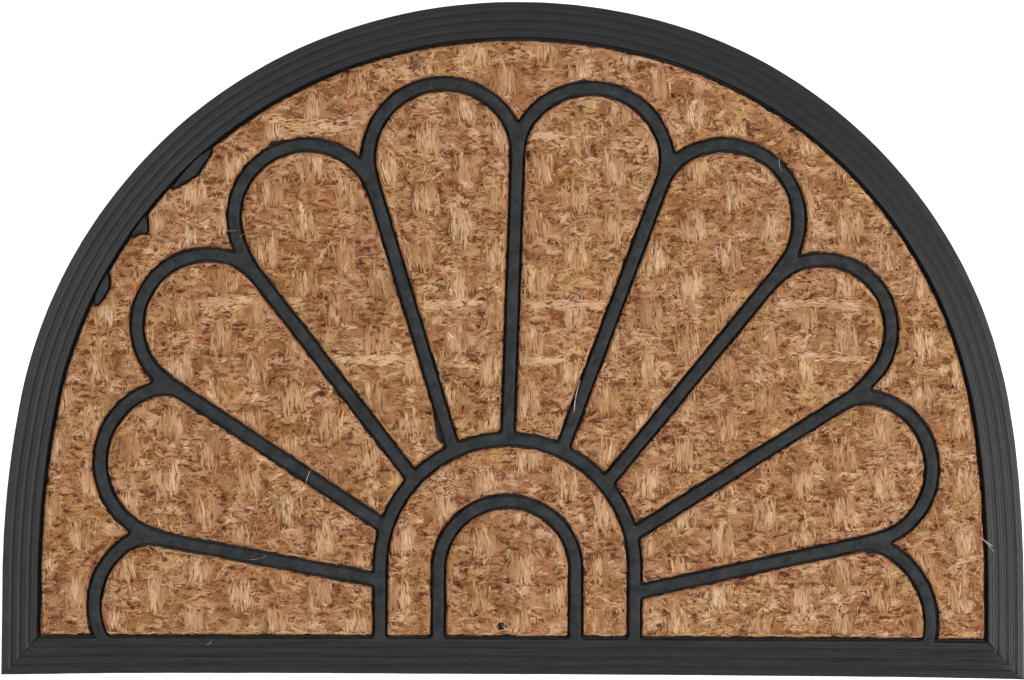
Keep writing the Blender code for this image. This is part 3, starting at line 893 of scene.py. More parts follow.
def cut_out(name, loops, low, high, round_over, resolution, material):
    """A flat shape with holes between two heights, with rounded edges, as one welded mesh."""
    curve = bpy.data.curves.new(name, "CURVE")
    curve.dimensions = "2D"
    curve.fill_mode = "BOTH"
    curve.extrude = ((high - low) / 2 - round_over) * MM
    curve.bevel_depth = round_over * MM
    curve.bevel_resolution = resolution
    curve.offset = -round_over * MM
    for loop in loops:
        spline = curve.splines.new("POLY")
        spline.points.add(len(loop) - 1)
        for point, (x, y) in zip(spline.points, loop):
            point.co = ((x - SHIFT[0]) * MM, (y - SHIFT[1]) * MM, 0.0, 1.0)
        spline.use_cyclic_u = True
    drawn = bpy.data.objects.new(name + "_outline", curve)
    bpy.context.scene.collection.objects.link(drawn)
    bpy.context.view_layer.update()
    mesh = bpy.data.meshes.new_from_object(drawn.evaluated_get(bpy.context.evaluated_depsgraph_get()))
    bpy.data.objects.remove(drawn)
    weld = bmesh.new()
    weld.from_mesh(mesh)
    bmesh.ops.remove_doubles(weld, verts=weld.verts, dist=0.00001)
    bmesh.ops.recalc_face_normals(weld, faces=weld.faces)
    for vertex in weld.verts:
        vertex.co.z += (low + high) / 2 * MM
    weld.to_mesh(mesh)
    weld.free()
    mesh.name = name
    mesh.materials.clear()
    mesh.materials.append(material)
    thing = bpy.data.objects.new(name, mesh)
    bpy.context.scene.collection.objects.link(thing)
    sharpen(thing, 35)
    return thing


def network(seed, broad, fine):
    """The edge of the rib network and its openings."""
    edge = scallops(RIB_WIDTH / 2 - RIB_SLIMMER, RIM_ON_BASE - FOOT_IN_RIM)
    loops = [edge] + fields(-RIB_SLIMMER, -FIELD_IN_RIM)[:-1]
    return [wandering(loop, seed, broad, fine) for loop in loops]


def cloth(material, pressed_in_and_shade):
    """The woven coir as one closed sheet: relief above, flat below, rubber-soaked in its channels, where
    that dark rubber also paints the shade of the gaps.
    """
    edge = np.array(half_round(RIM_ON_ARCH + COIR_TO_RIM, RIM_ON_BASE + COIR_TO_RIM))[:, :2]
    xs = np.arange(edge[:, 0].min() - CLOTH_PITCH, edge[:, 0].max() + CLOTH_PITCH, CLOTH_PITCH)
    ys = np.arange(edge[:, 1].min(), edge[:, 1].max() + CLOTH_PITCH, CLOTH_PITCH)
    grid_x, grid_y = np.meshgrid(xs, ys)
    depth = plan_map.depth(grid_x, grid_y)
    slope_x, slope_y = plan_map.slope(grid_x, grid_y)
    steep = np.hypot(slope_x, slope_y)
    off = depth - SHELF
    near = (np.abs(off) < 0.55 * CLOTH_PITCH) & (steep > 0.6)
    moved_x = np.where(near, grid_x - off * slope_x / np.maximum(steep, 0.6), grid_x)
    moved_y = np.where(near, grid_y - off * slope_y / np.maximum(steep, 0.6), grid_y)
    within = plan_map.read(plan_map.from_rim, moved_x, moved_y) > COIR_TO_RIM
    cell = within[:-1, :-1] & within[1:, :-1] & within[:-1, 1:] & within[1:, 1:]
    height = relief(moved_x, moved_y) - GAP_DEPTH * crevice(moved_x, moved_y)
    height = np.where(near, CHANNEL_FLOOR, height)
    # painted shade: faces low in the channels, beside ribs and rim and in bare places, take the dark
    # pressed-in rubber
    low = (near | (off < 0)).astype(int)
    in_channel = (low[:-1, :-1] + low[1:, :-1] + low[:-1, 1:] + low[1:, 1:] >= 2)[cell]
    number = np.arange(grid_x.size).reshape(grid_x.shape)
    faces = np.stack([number[:-1, :-1], number[:-1, 1:], number[1:, 1:], number[1:, :-1]], -1)[cell]
    used = np.unique(faces)
    new_number = np.full(grid_x.size, -1)
    new_number[used] = np.arange(len(used))
    faces = new_number[faces]
    points = np.stack([moved_x.ravel()[used], moved_y.ravel()[used], height.ravel()[used]], -1)

    # the border of the top, followed round once
    starts = faces.ravel()
    ends = np.roll(faces, -1, axis=1).ravel()
    one_way = set(zip(starts.tolist(), ends.tolist()))
    follow = {a: b for a, b in one_way if (b, a) not in one_way}
    first = next(iter(sorted(follow)))
    border = [first]
    while follow[border[-1]] != first:
        border.append(follow[border[-1]])
    below = points[border].copy()
    below[:, 2] = COIR_BOTTOM
    base = len(points)
    count = len(border)
    side = []
    for i in range(count):
        j = (i + 1) % count
        side.append((border[j], border[i], base + i, base + j))
    points = place(np.concatenate([points, below]))
    thing = object_from("coir_cloth", points, np.concatenate([faces, side]), material)
    thing.data.materials.append(pressed_in_and_shade)
    in_channel = np.concatenate([in_channel, np.ones(count)])
    thing.data.polygons.foreach_set("material_index", in_channel.astype(np.int32))
    close(thing, [range(base, base + count)[::-1]])
    thing.data.shade_smooth()
    return thing


class Fibres:
    """Centre lines, widths, tints and shades of many coir fibres, gathered batch by batch."""

    def __init__(self, sections):
        self.sections = sections
        self.batches = []

    def add(
        self, x, y, heading, length, bend, wave, lift, sink, width, tint, keep_off, nerve,
        end_shade=0.15, into_gaps=0.0, floor_z=0.0, edge_shade=EDGE_SHADE,
    ):
        """Lays fibres by their middles; lift is above the cloth and sink is how far the ends dive.

        A fibre stops where it comes closer to the border than keep_off. One that lies in a gap
        for a greater share than its nerve is left out; into_gaps lays it down into them. Its colour
        takes painted shade: darker over gaps and more so down in them, darker at its ends where
        they dive, and darker by edge_shade where they turn down at the border.
        """
        middle = FINE_STEPS // 2
        s = np.linspace(-1, 1, FINE_STEPS)[None, :]
        waves = wave[:, None] * np.sin(2.6 * s + 7.0 * wave[:, None])
        angle = heading[:, None] + bend[:, None] * s + waves
        step = (length / (FINE_STEPS - 1))[:, None]
        px = np.cumsum(np.cos(angle) * step, axis=1)
        py = np.cumsum(np.sin(angle) * step, axis=1)
        px += x[:, None] - px[:, middle:middle + 1]
        py += y[:, None] - py[:, middle:middle + 1]
        inside = plan_map.depth(px, py) > keep_off[:, None]
        ahead = np.cumprod(inside[:, middle:], axis=1).sum(axis=1) - 1
        behind = np.cumprod(inside[:, middle::-1], axis=1).sum(axis=1) - 1
        keep = inside[:, middle] & (ahead + behind > 3)
        keep &= crevice(px[:, 1::3], py[:, 1::3]).mean(axis=1) < nerve
        px, py, ahead, behind = px[keep], py[keep], ahead[keep], behind[keep]
        share = np.linspace(0, 1, self.sections)[None, :]
        at = middle - behind[:, None] + (ahead + behind)[:, None] * share
        low = np.minimum(at.astype(int), FINE_STEPS - 2)
        part = at - low
        row = np.arange(len(px))[:, None]
        px = px[row, low] * (1 - part) + px[row, low + 1] * part
        py = py[row, low] * (1 - part) + py[row, low + 1] * part
        dive = np.abs(2 * share - 1) ** 3
        gap = crevice(px, py)
        pz = relief(px, py) + lift[keep][:, None] - sink[keep][:, None] * dive
        pz = np.maximum(pz - into_gaps * GAP_DEPTH * gap, floor_z)
        turned = np.clip(1 - (plan_map.depth(px, py) - 1.1) / EDGE_REACH, 0, 1)
        # painted shade: darker over and in gaps, at the diving ends, and where the fibre turns down at
        # the border
        shade = -(GAP_SHADE + into_gaps * DEEP_SHADE) * gap - end_shade * dive - edge_shade * turned
        self.batches.append((np.stack([px, py, pz], -1), width[keep], tint[keep], shade))

    def strew(
        self, rng, x, y, heading, shades, tease,
        length, bend, wave, lift, sink, width, keep_off, nerve, **more,
    ):
        """Adds single fibres; a pair is a range, and bend and wave are spreads round zero.

        shades is what tints() takes after the places: the level, the spread and the rest.
        """
        count = len(x)
        self.add(
            x, y, heading,
            length=rng.uniform(*length, count),
            bend=rng.normal(0, bend, count),
            wave=around(rng, wave, count),
            lift=rng.uniform(*lift, count),
            sink=between(rng, sink, count),
            width=rng.uniform(*width, count),
            tint=teased(rng, tints(rng, x, y, *shades), tease),
            keep_off=rng.uniform(*keep_off, count),
            nerve=between(rng, nerve, count),
            **more,
        )

    def add_locks(
        self, rng, locks, onward, turned, astray, shorter, bend, wave, lift, drop, sink, width,
        aside_shade, tease, nerve, end_shade=0.15,
    ):
        """Adds locks of fibres side by side; one that is far aside lies lower and is darker, as painted
        shade.
        """
        which = np.repeat(np.arange(len(locks["x"])), FIBRES_IN_LOCK)
        total = len(which)
        lock = {name: values[which] for name, values in locks.items()}
        aside = rng.normal(0, LOCK_SPREAD, total)
        along = rng.normal(0, onward, total)
        cos = np.cos(lock["heading"])
        sin = np.sin(lock["heading"])
        turn = rng.normal(0, turned, total)
        if astray:
            turn += np.where(rng.random(total) < astray, rng.normal(0, 1.0, total), 0.0)
        self.add(
            lock["x"] - aside * sin + along * cos,
            lock["y"] + aside * cos + along * sin,
            lock["heading"] + turn,
            length=lock["length"] * rng.uniform(*shorter, total),
            bend=lock["bend"] + rng.normal(0, bend, total),
            wave=rng.normal(0, wave, total),
            lift=lock["lift"] + rng.uniform(*lift, total) - drop * aside ** 2,
            sink=rng.uniform(*sink, total),
            width=rng.uniform(*width, total),
            # painted shade: a fibre far aside in its lock is made darker as it lies lower
            tint=teased(rng, lock["tint"] * np.exp(-aside_shade * aside[:, None] ** 2 * FOLLOW), tease),
            keep_off=rng.uniform(1.2, 1.6, total),
            nerve=rng.uniform(*nerve, total),
            end_shade=end_shade,
        )

    def ribbons(self, name, material, rng):
        """One mesh of narrow ribbons, with a tint for each and a map for it."""
        line_points, width, tint, shade = (np.concatenate(part) for part in zip(*self.batches))
        count, sections, _ = line_points.shape
        way = np.gradient(line_points, axis=1)
        side = np.stack([way[..., 1], -way[..., 0], np.zeros((count, sections))], -1)
        side /= np.maximum(np.linalg.norm(side, axis=-1, keepdims=True), 1e-6)
        roll = rng.normal(0, 0.16, count)[:, None, None]
        up = np.array([0.0, 0.0, 1.0])
        side = side * np.cos(roll) + up * np.sin(roll)
        taper = 1 - 0.5 * np.abs(np.linspace(-1, 1, sections)) ** 4
        half = side * (width[:, None, None] / 2) * taper[None, :, None]
        verts = np.stack([line_points - half, line_points + half], 2)
        number = np.arange(count * sections * 2).reshape(count, sections, 2)
        corners = [number[:, :-1, 0], number[:, :-1, 1], number[:, 1:, 1], number[:, 1:, 0]]
        faces = np.stack(corners, -1).reshape(-1, 4)
        thing = object_from(name, place(verts.reshape(-1, 3)), faces, material)
        # painted shade over gaps, at the diving ends and at the border, carried into the colour
        deep = shade[:, :, None, None] * FOLLOW_IN_GAPS
        fine = 0.08 * np.sin(np.linspace(0, 5, sections)[None, :] + rng.uniform(0, 6, count)[:, None])
        # painted light: each ribbon is lighter on its side towards LIT_SIDE and darker on the other
        lit = PAINTED_SIDE_LIGHT * (LIT_SIDE[0] * side[..., 0] + LIT_SIDE[1] * side[..., 1])
        fine = np.stack([fine - lit, fine + lit], -1)[..., None] * FOLLOW_FINELY
        usual = np.log(tint).mean(axis=0)
        own = (1 - END_BLEND * np.linspace(-1, 1, sections) ** 2)[None, :, None, None]
        blended = usual + own * (np.log(tint)[:, None, None, :] - usual)
        colour = np.ones((count, sections, 2, 4), np.float32)
        colour[..., :3] = np.exp(blended + deep + fine)
        layer = thing.data.color_attributes.new("fibre_tint", "FLOAT_COLOR", "POINT")
        layer.data.foreach_set("color", colour.ravel())
        lay_out(thing, count, sections)
        return thing


def between(rng, span, count):
    """Values drawn from a pair's range, or one value for all."""
    return rng.uniform(*span, count) if isinstance(span, tuple) else np.full(count, span)


def around(rng, spread, count):
    """Values spread round zero; a spread of zero takes no draw."""
    return rng.normal(0, spread, count) if spread else np.zeros(count)


def lay_out(thing, count, sections):
    """A texture map with a small strip for each fibre."""
    columns = int(math.ceil(math.sqrt(count * 3.2)))
    rows = int(math.ceil(count / columns))
    which = np.arange(count)
    left = (which % columns) / columns
    low = (which // columns) / rows
    inset = 0.22
    u0 = left + inset / columns
    u1 = left + (1 - inset) / columns
    t = np.linspace(inset / 2, 1 - inset / 2, sections)
    v = low[:, None] + t[None, :] / rows
    uv = np.zeros((count, sections, 2, 2), np.float32)
    uv[..., 0, 0] = u0[:, None]
    uv[..., 1, 0] = u1[:, None]
    uv[..., 1] = v[..., None]
    corners = np.empty(len(thing.data.loops), np.int32)
    thing.data.loops.foreach_get("vertex_index", corners)
    layer = thing.data.uv_layers.new(name="OFBake")
    layer.data.foreach_set("uv", uv.reshape(-1, 2)[corners].ravel())


def linear(red, green, blue):
    """A display colour, 0 to 255, as linear light."""
    values = []
    for part in (red, green, blue):
        share = part / 255
        values.append(share / 12.92 if share <= 0.04045 else ((share + 0.055) / 1.055) ** 2.4)
    return tuple(values)


def tints(rng, x, y, level, spread, stretch=(1.0, 1.0), broad=0.5, hue=1.0):
    """A colour for each lock of fibres: tufts of like locks, with broader patches over the mat."""
    sx = x * stretch[0]
    sy = y * stretch[1]
    tuft = 1.8 * grain(sx, sy, 3.2, 34) + 1.1 * grain(sx, sy, 6.0, 35) + rng.normal(0, 0.42, len(x))
    tuft = np.where(tuft < 0, 1.15 * tuft, 0.85 * tuft)
    patch = 0.16 * grain(x, y, 34.0, 31) + 0.26 * grain(x, y, 13.0, 32)
    light = level + spread * tuft + broad * patch
    light = np.where(light > BRIGHT, BRIGHT + 0.45 * (light - BRIGHT), light)
    rosy = 1.2 * grain(x, y, 14.0, 33) + 0.7 * grain(x, y, 5.5, 36)
    rosy = rosy * np.clip(0.8 - 1.6 * light, 0.1, 1.2)
    golden = np.clip(1.5 * grain(x, y, 18.0, 37) + 0.9 * grain(x, y, 6.5, 38), -0.6, 1.3) + 0.20 * light
    shift = rosy[:, None] * ROSY + golden[:, None] * GOLDEN
    usual = np.array(linear(*COIR))
    return np.clip(usual * np.exp(light[:, None] * FOLLOW + hue * shift), 0.004, 0.9)


def teased(rng, tint, spread):
    """The tints of single fibres, a little lighter or darker than their lock's."""
    return tint * np.exp(rng.normal(0, spread, len(tint))[:, None] * FOLLOW_FINELY)


def float_places():
    """Every warp float that shows: x, y, column and row."""
    found = []
    for row in WEAVE_ROWS:
        for column in WEAVE_COLUMNS:
            if (row + column) % 2 == 0:
                found.append((*crossing(column, row), column, row))
    return np.array(found)


def warp_fibres(rng, material):
    """Straight pale fibres along every float, in locks that splay a little."""
    places = float_places()
    places = places[plan_map.depth(places[:, 0], places[:, 1]) > -7.0]
    x, y, column, row = np.repeat(places, LOCKS_EACH, axis=0).T
    count = len(x)
    lean = 0.14 * grain(column * 3.7, row * 3.7, 1.0, 5)
    twist = 0.10 + 0.08 * grain(column * 2.3, row * 5.1, 1.0, 11)
    strand = rng.choice([-1.0, 0.0, 1.0], count, p=[0.42, 0.16, 0.42])
    across = np.clip(rng.normal(0, 0.60, count), -1.35, 1.35)
    wider = 1 + 0.18 * grain(column * 5.3, row * 2.9, 1.0, 12)
    off_x = (strand * STRAND_OFFSET + across * STRAND_RADIUS) * wider
    off_y = rng.normal(0, 0.31, count) * FLOAT_HALF_LENGTH
    px = x + off_x + 1.5 * grain(column * 4.1, row * 6.3, 1.0, 13) - lean * off_y
    py = y + off_y + 0.8 * grain(column * 6.1, row * 2.3, 1.0, 15)
    faint = np.clip(grain(column * 7.7, row * 7.1, 1.0, 14) - 0.2, 0, 1)
    level = FLOAT_LEVEL - 0.35 * faint - 0.42 * (off_x / 7.5) ** 2
    locks = {
        "x": px,
        "y": py,
        "heading": math.pi / 2 + lean + twist + rng.normal(0, 0.09, count),
        "bend": rng.normal(0, 0.10, count),
        "length": rng.uniform(8.0, 14.0, count),
        "lift": rng.uniform(0.0, 0.4, count),
        "tint": tints(rng, px, py, level, 0.26, (1.5, 0.4), 0.8, 0.4),
    }
    bunch = Fibres(5)
    bunch.add_locks(
        rng, locks, onward=1.8, turned=0.05, astray=0.0, shorter=(0.7, 1.1), bend=0.08, wave=0.07,
        lift=(0.0, 0.2), drop=0.06, sink=(0.1, 0.6), width=(0.58, 1.10), aside_shade=0.03, tease=0.05,
        nerve=(0.1, 1.3), end_shade=0.35,
    )
    return bunch.ribbons("warp_fibres", material, rng)


def scatter(rng, count):
    """Random plan points on the coir."""
    x = np.zeros(0)
    y = np.zeros(0)
    while len(x) < count:
        tx = rng.uniform(MAP_LOW[0], MAP_HIGH[0], count * 2)
        ty = rng.uniform(MAP_LOW[1], MAP_HIGH[1], count * 2)
        good = plan_map.depth(tx, ty) > 1.5
        x = np.concatenate([x, tx[good]])
        y = np.concatenate([y, ty[good]])
    return x[:count], y[:count]


def weft_fibres(rng, name, count, sections, span, material):
    """Matted brown weft between the floats, in locks that mostly run across."""
    x, y = scatter(rng, int(count * 1.7))
    hidden = on_float(x, y, 0.8) & (rng.random(len(x)) < 0.96)
    hidden |= rng.random(len(x)) < 0.8 * in_pit(x, y)
    x = x[~hidden][:count]
    y = y[~hidden][:count]
    count = len(x)
    heading = 0.55 * grain(x, y, 15.0, 41) + 1.0 * grain(x, y, 4.2, 42) + rng.normal(0, 0.25, count)
    astray = rng.random(count) < 0.16
    heading = np.where(astray, rng.uniform(0, math.pi, count), heading)
    bend = rng.normal(0, 0.45, count)
    length = rng.uniform(*span, count)
    lift = rng.uniform(-0.15, 0.40, count)
    column = weave_place(x, y)[0]
    # painted shade and light: weft darker where it dips between the columns and beside the floats,
    # lighter where a lock lies higher
    level = WEFT_LEVEL - 0.12 * np.sin(math.pi * column) ** 2 - 0.13 * beside_float(x, y) + 0.30 * lift
    tint = tints(rng, x, y, level, 0.35, (0.8, 1.0), 0.45)
    locks = dict(x=x, y=y, heading=heading, bend=bend, length=length, lift=lift, tint=tint)
    bunch = Fibres(sections)
    bunch.add_locks(
        rng, locks, onward=1.3, turned=0.14, astray=0.06, shorter=(0.7, 1.15), bend=0.25, wave=0.22,
        lift=(-0.05, 0.15), drop=0.08, sink=(0.0, 0.5), width=(0.62, 1.20), aside_shade=0.05, tease=0.04,
        nerve=(0.10, 0.65),
    )
    return bunch.ribbons(name, material, rng)


def under_fibres(rng, material):
    """Short packed fibres on the cloth, seen between the upper ones and down in the gaps."""
    x, y = scatter(rng, UNDER_FIBRES)
    heading = 0.7 * grain(x, y, 6.0, 43) + rng.normal(0, 0.45, len(x))
    heading = np.where(on_float(x, y, 1.0), math.pi / 2 + 0.3 * heading, heading)
    # painted shade: the under fibres are made darker than the upper ones, and darker still beside the
    # floats
    level = np.where(on_float(x, y, 0.5), FLOAT_LEVEL - 0.15, WEFT_LEVEL - 0.12)
    level = level - 0.15 * beside_float(x, y)
    bunch = Fibres(3)
    bunch.strew(
        rng, x, y, heading, (level, 0.36, (0.8, 1.0)), tease=0.05, length=(2.4, 5.5), bend=0.5,
        wave=0.0, lift=(-0.05, 0.18), sink=0.0, width=(0.62, 1.15), keep_off=(1.1, 1.7), nerve=2.0,
        into_gaps=1.0,
    )
    return bunch.ribbons("under_fibres", material, rng)


def tangle_fibres(rng, material):
    """Loose curly fibres of every direction on top."""
    x, y = scatter(rng, TANGLE_FIBRES)
    bunch = Fibres(7)
    bunch.strew(
        rng, x, y, rng.uniform(0, 2 * math.pi, len(x)), (WEFT_LEVEL + 0.12, 0.16), tease=0.18,
        length=(5.0, 15.0), bend=0.70, wave=0.40, lift=(0.2, 1.1), sink=(0.3, 1.2),
        width=(0.22, 0.42), keep_off=(0.6, 2.2), nerve=1.2,
    )
    return bunch.ribbons("tangle_fibres", material, rng)


def edge_fibres(rng, material):
    """Fibres pressed along the borders of every field, pale in places and along the straight edge."""
    x, y = scatter(rng, EDGE_FIBRES * 12)
    good = plan_map.depth(x, y) < 2.9
    x = x[good][:EDGE_FIBRES]
    y = y[good][:EDGE_FIBRES]
    way_x, way_y = plan_map.slope(x, y)
    heading = np.arctan2(way_y, way_x) + math.pi / 2 + rng.normal(0, 0.18, len(x))
    pale = np.clip(1.6 * grain(x, y, 26.0, 61) - 0.2, 0, 0.6)
    hem = np.clip((BORDER_ON_BASE + 7.5 - y) / 3.0, 0, 1)
    level = WEFT_LEVEL + 0.10 + 0.5 * np.maximum(pale, 0.8 * hem)
    bunch = Fibres(5)
    bunch.strew(
        rng, x, y, heading, (level, 0.18), tease=0.12, length=(4.0, 11.0), bend=0.20, wave=0.12,
        lift=(-0.2, 0.5), sink=(0.0, 0.6), width=(0.40, 0.75), keep_off=(1.15, 1.45),
        nerve=(0.2, 1.0), edge_shade=0.55,
    )
    return bunch.ribbons("edge_fibres", material, rng)


def stray_yarns(rng, material):
    """Single pale weft yarns that lie straight on the matted ones."""
    bunch = Fibres(5)
    for start, end, height, thick in YARNS:
        count = int((end - start) * thick * YARN_FIBRES)
        x = rng.uniform(start, end, count)
        y = height + WEFT_DROOP * ((x - WEAVE_CENTRE[0]) / WARP_PITCH) ** 2 + rng.normal(0, thick, count)
        y += 1.4 * grain(x, 0.0 * x, 17.0, 62)
        hidden = (plan_map.depth(x, y) < 1.7) | (on_float(x, y, 1.0) & (rng.random(count) < 0.7))
        hidden |= grain(x, 0.0 * x + height, 19.0, 63) < -0.75
        x = x[~hidden]
        y = y[~hidden]
        bunch.strew(
            rng, x, y, rng.normal(0, 0.20, len(x)), (WEFT_LEVEL + 0.38, 0.14), tease=0.08,
            length=(5.0, 11.0), bend=0.25, wave=0.18, lift=(0.45, 0.85), sink=(0.2, 0.7),
            width=(0.45, 0.8), keep_off=(1.1, 1.7), nerve=(0.4, 1.2),
        )
    return bunch.ribbons("stray_yarns", material, rng)


def loose_hairs(rng, material):
    """Single pale hairs that lie over the rubber and over the hole at the straight edge."""
    bunch = Fibres(7)
    hair = np.array(HAIRS)
    way_x = hair[:, 2] - hair[:, 0]
    way_y = hair[:, 3] - hair[:, 1]
    count = len(hair)
    bunch.add(
        (hair[:, 0] + hair[:, 2]) / 2, (hair[:, 1] + hair[:, 3]) / 2, np.arctan2(way_y, way_x),
        length=np.hypot(way_x, way_y),
        bend=hair[:, 4],
        wave=np.zeros(count),
        lift=np.full(count, 0.4),
        sink=np.full(count, 0.2),
        width=hair[:, 5],
        tint=np.tile(linear(*HAIR_COLOUR), (count, 1)),
        keep_off=np.full(count, -MAP_REACH),
        nerve=np.full(count, 2.0),
        floor_z=RIB_TOP + 0.5,
        edge_shade=0.0,
    )
    return bunch.ribbons("loose_hairs", material, rng)


def shader(name, roughness, specular=0.5):
    material = bpy.data.materials.new(name)
    material.use_nodes = True
    tree = material.node_tree
    principled = tree.nodes["Principled BSDF"]
    principled.inputs["Roughness"].default_value = roughness
    principled.inputs["Specular IOR Level"].default_value = specular
    return material, tree, principled


def node(tree, kind, **settings):
    made = tree.nodes.new(kind)
    for key, value in settings.items():
        setattr(made, key, value)
    return made


def noise(tree, scale, detail, roughness, stretch=(1.0, 1.0, 1.0), distortion=0.0, source=None):
    """A noise from 0 to 1, in the object's own coordinates if no others are given."""
    if source is None:
        source = node(tree, "ShaderNodeTexCoord").outputs["Object"]
    spread = node(tree, "ShaderNodeMapping")
    spread.inputs["Scale"].default_value = stretch
    tree.links.new(source, spread.inputs["Vector"])
    made = node(tree, "ShaderNodeTexNoise")
    settings = {"Scale": scale, "Detail": detail, "Roughness": roughness, "Distortion": distortion}
    for name, value in settings.items():
        made.inputs[name].default_value = value
    tree.links.new(spread.outputs["Vector"], made.inputs["Vector"])
    return made.outputs["Fac"]


def ramp(tree, source, stops):
    """The colour that a value has between stops of position and colour."""
    made = node(tree, "ShaderNodeValToRGB")
    elements = made.color_ramp.elements
    while len(elements) < len(stops):
        elements.new(0.5)
    for element, (position, colour) in zip(elements, stops):
        element.position = position
        element.color = (*colour, 1.0)
    tree.links.new(source, made.inputs["Fac"])
    return made.outputs["Color"]


def bump(tree, principled, source, strength, distance):
    made = node(tree, "ShaderNodeBump")
    made.inputs["Strength"].default_value = strength
    made.inputs["Distance"].default_value = distance
    tree.links.new(source, made.inputs["Height"])
    tree.links.new(made.outputs["Normal"], principled.inputs["Normal"])


def calculated(tree, operation, *inputs):
    """The result of one sum, from numbers or from the results of other nodes."""
    made = node(tree, "ShaderNodeMath", operation=operation)
    for socket, value in zip(made.inputs, inputs):
        if isinstance(value, bpy.types.NodeSocket):
            tree.links.new(value, socket)
        else:
            socket.default_value = value
    return made.outputs["Value"]


def rubber_material(name, low, high, roughness, specular, straight_from=None):
    """Matte moulded rubber: faint mottling and fine grain, and streaks along the rim's ridges.

    straight_from is how far round the rim its straight edge starts, where the streaks are strong.
    """
    material, tree, principled = shader(name, roughness, specular)
    tone = noise(tree, 150.0, 6.0, 0.7)
    grit = noise(tree, 900.0, 3.0, 0.6)
    if straight_from is not None:
        way = node(tree, "ShaderNodeUVMap", uv_map="along_rim").outputs["UV"]
        streaks = noise(tree, 1.0, 3.0, 0.5, STREAK_STRETCH, source=way)
        parts = node(tree, "ShaderNodeSeparateXYZ")
        tree.links.new(way, parts.inputs["Vector"])
        on_base = calculated(tree, "GREATER_THAN", parts.outputs["X"], straight_from)
        strength = calculated(tree, "MULTIPLY_ADD", on_base, STREAKS_ON_BASE - STREAKS, STREAKS)
        centred = calculated(tree, "SUBTRACT", streaks, 0.5)
        rest = calculated(tree, "MULTIPLY_ADD", tone, 0.45, 0.30)
        tone = calculated(tree, "MULTIPLY_ADD", centred, strength, rest)
    shade = ramp(tree, tone, [(0.34, low), (0.66, high)])
    speckle = ramp(tree, grit, [(0.36, (0.68, 0.68, 0.68)), (0.64, (1.0, 1.0, 1.0))])
    tree.links.new(multiplied(tree, shade, speckle), principled.inputs["Base Color"])
    bump(tree, principled, grit, 0.5, 0.0005)
    return material


def cloth_material():
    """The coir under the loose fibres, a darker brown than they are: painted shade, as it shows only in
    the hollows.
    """
    material, tree, principled = shader("coir_packed", 0.9, 0.2)
    streaks = noise(tree, 420.0, 5.0, 0.7, (0.35, 1.0, 1.0))
    # painted shade: browns darker than the fibres, for a cloth seen only down in the hollows
    stops = [(0.30, linear(84, 50, 26)), (0.52, linear(120, 78, 46)), (0.70, linear(150, 104, 66))]
    tree.links.new(ramp(tree, streaks, stops), principled.inputs["Base Color"])
    bump(tree, principled, streaks, 0.8, 0.0006)
    return material


def multiplied(tree, first, second):
    """The product of two colours."""
    made = node(tree, "ShaderNodeMix", data_type="RGBA", blend_type="MULTIPLY")
    made.inputs["Factor"].default_value = 1.0
    tree.links.new(first, made.inputs[6])
    tree.links.new(second, made.inputs[7])
    return made.outputs[2]


def fibre_material(name, drawn, hollow_shade):
    """Dry fibre: its own tint, fine streaks, and dark specks of painted shade in the hollows between the
    fibres.
    """
    material, tree, principled = shader(name, 0.72, 0.25)
    own = node(tree, "ShaderNodeVertexColor", layer_name="fibre_tint").outputs["Color"]
    streaks = noise(tree, 700.0, 3.0, 0.6)
    shade = ramp(tree, streaks, [(0.3, (0.90, 0.89, 0.87)), (0.7, (1.0, 1.0, 1.0))])
    # painted shade: dark specks in the fibres' colour where one looks down between them
    hollows = noise(tree, SPECK_SCALE, 1.5, 0.5, drawn, 0.5)
    clusters = noise(tree, CLUSTER_SCALE, 1.0, 0.5)
    crowded = calculated(tree, "MULTIPLY_ADD", clusters, CLUSTER_SHARE, hollows)
    specks = ramp(tree, crowded, [(SPECK_LOW, hollow_shade), (SPECK_HIGH, (1.0, 1.0, 1.0))])
    tone = multiplied(tree, multiplied(tree, own, shade), specks)
    tree.links.new(tone, principled.inputs["Base Color"])
    return material


def floor_and_light():
    """A plain white floor with soft studio light."""
    bpy.ops.mesh.primitive_plane_add(size=FLOOR_SIZE, location=(0, 0, FLOOR_Z))
    floor = bpy.context.object
    floor.name = "floor"
    material, tree, principled = shader("floor_white", 0.9, 0.1)
    principled.inputs["Base Color"].default_value = (0.93, 0.93, 0.93, 1.0)
    principled.inputs["Emission Color"].default_value = (1.0, 1.0, 1.0, 1.0)
    principled.inputs["Emission Strength"].default_value = FLOOR_GLOW
    floor.data.materials.append(material)
    world = bpy.data.worlds.new("studio")
    world.use_nodes = True
    tree = world.node_tree
    where = node(tree, "ShaderNodeTexCoord")
    part = node(tree, "ShaderNodeSeparateXYZ")
    tree.links.new(where.outputs["Generated"], part.inputs["Vector"])
    dim = (WORLD_STRENGTH, WORLD_STRENGTH, WORLD_STRENGTH)
    shade = ramp(tree, part.outputs["Z"], [(0.06, (1.0, 1.0, 1.0)), (0.16, dim)])
    tree.links.new(shade, tree.nodes["Background"].inputs["Color"])
    bpy.context.scene.world = world
    for name, spot, size, power in LAMPS:
        data = bpy.data.lights.new(name, "AREA")
        data.shape = "DISK"
        data.size = size
        data.energy = power
        lamp = bpy.data.objects.new(name, data)
        lamp.location = spot
        lamp.rotation_euler = (-Vector(spot)).to_track_quat("-Z", "Y").to_euler()
        lamp.visible_camera = False
        bpy.context.scene.collection.objects.link(lamp)


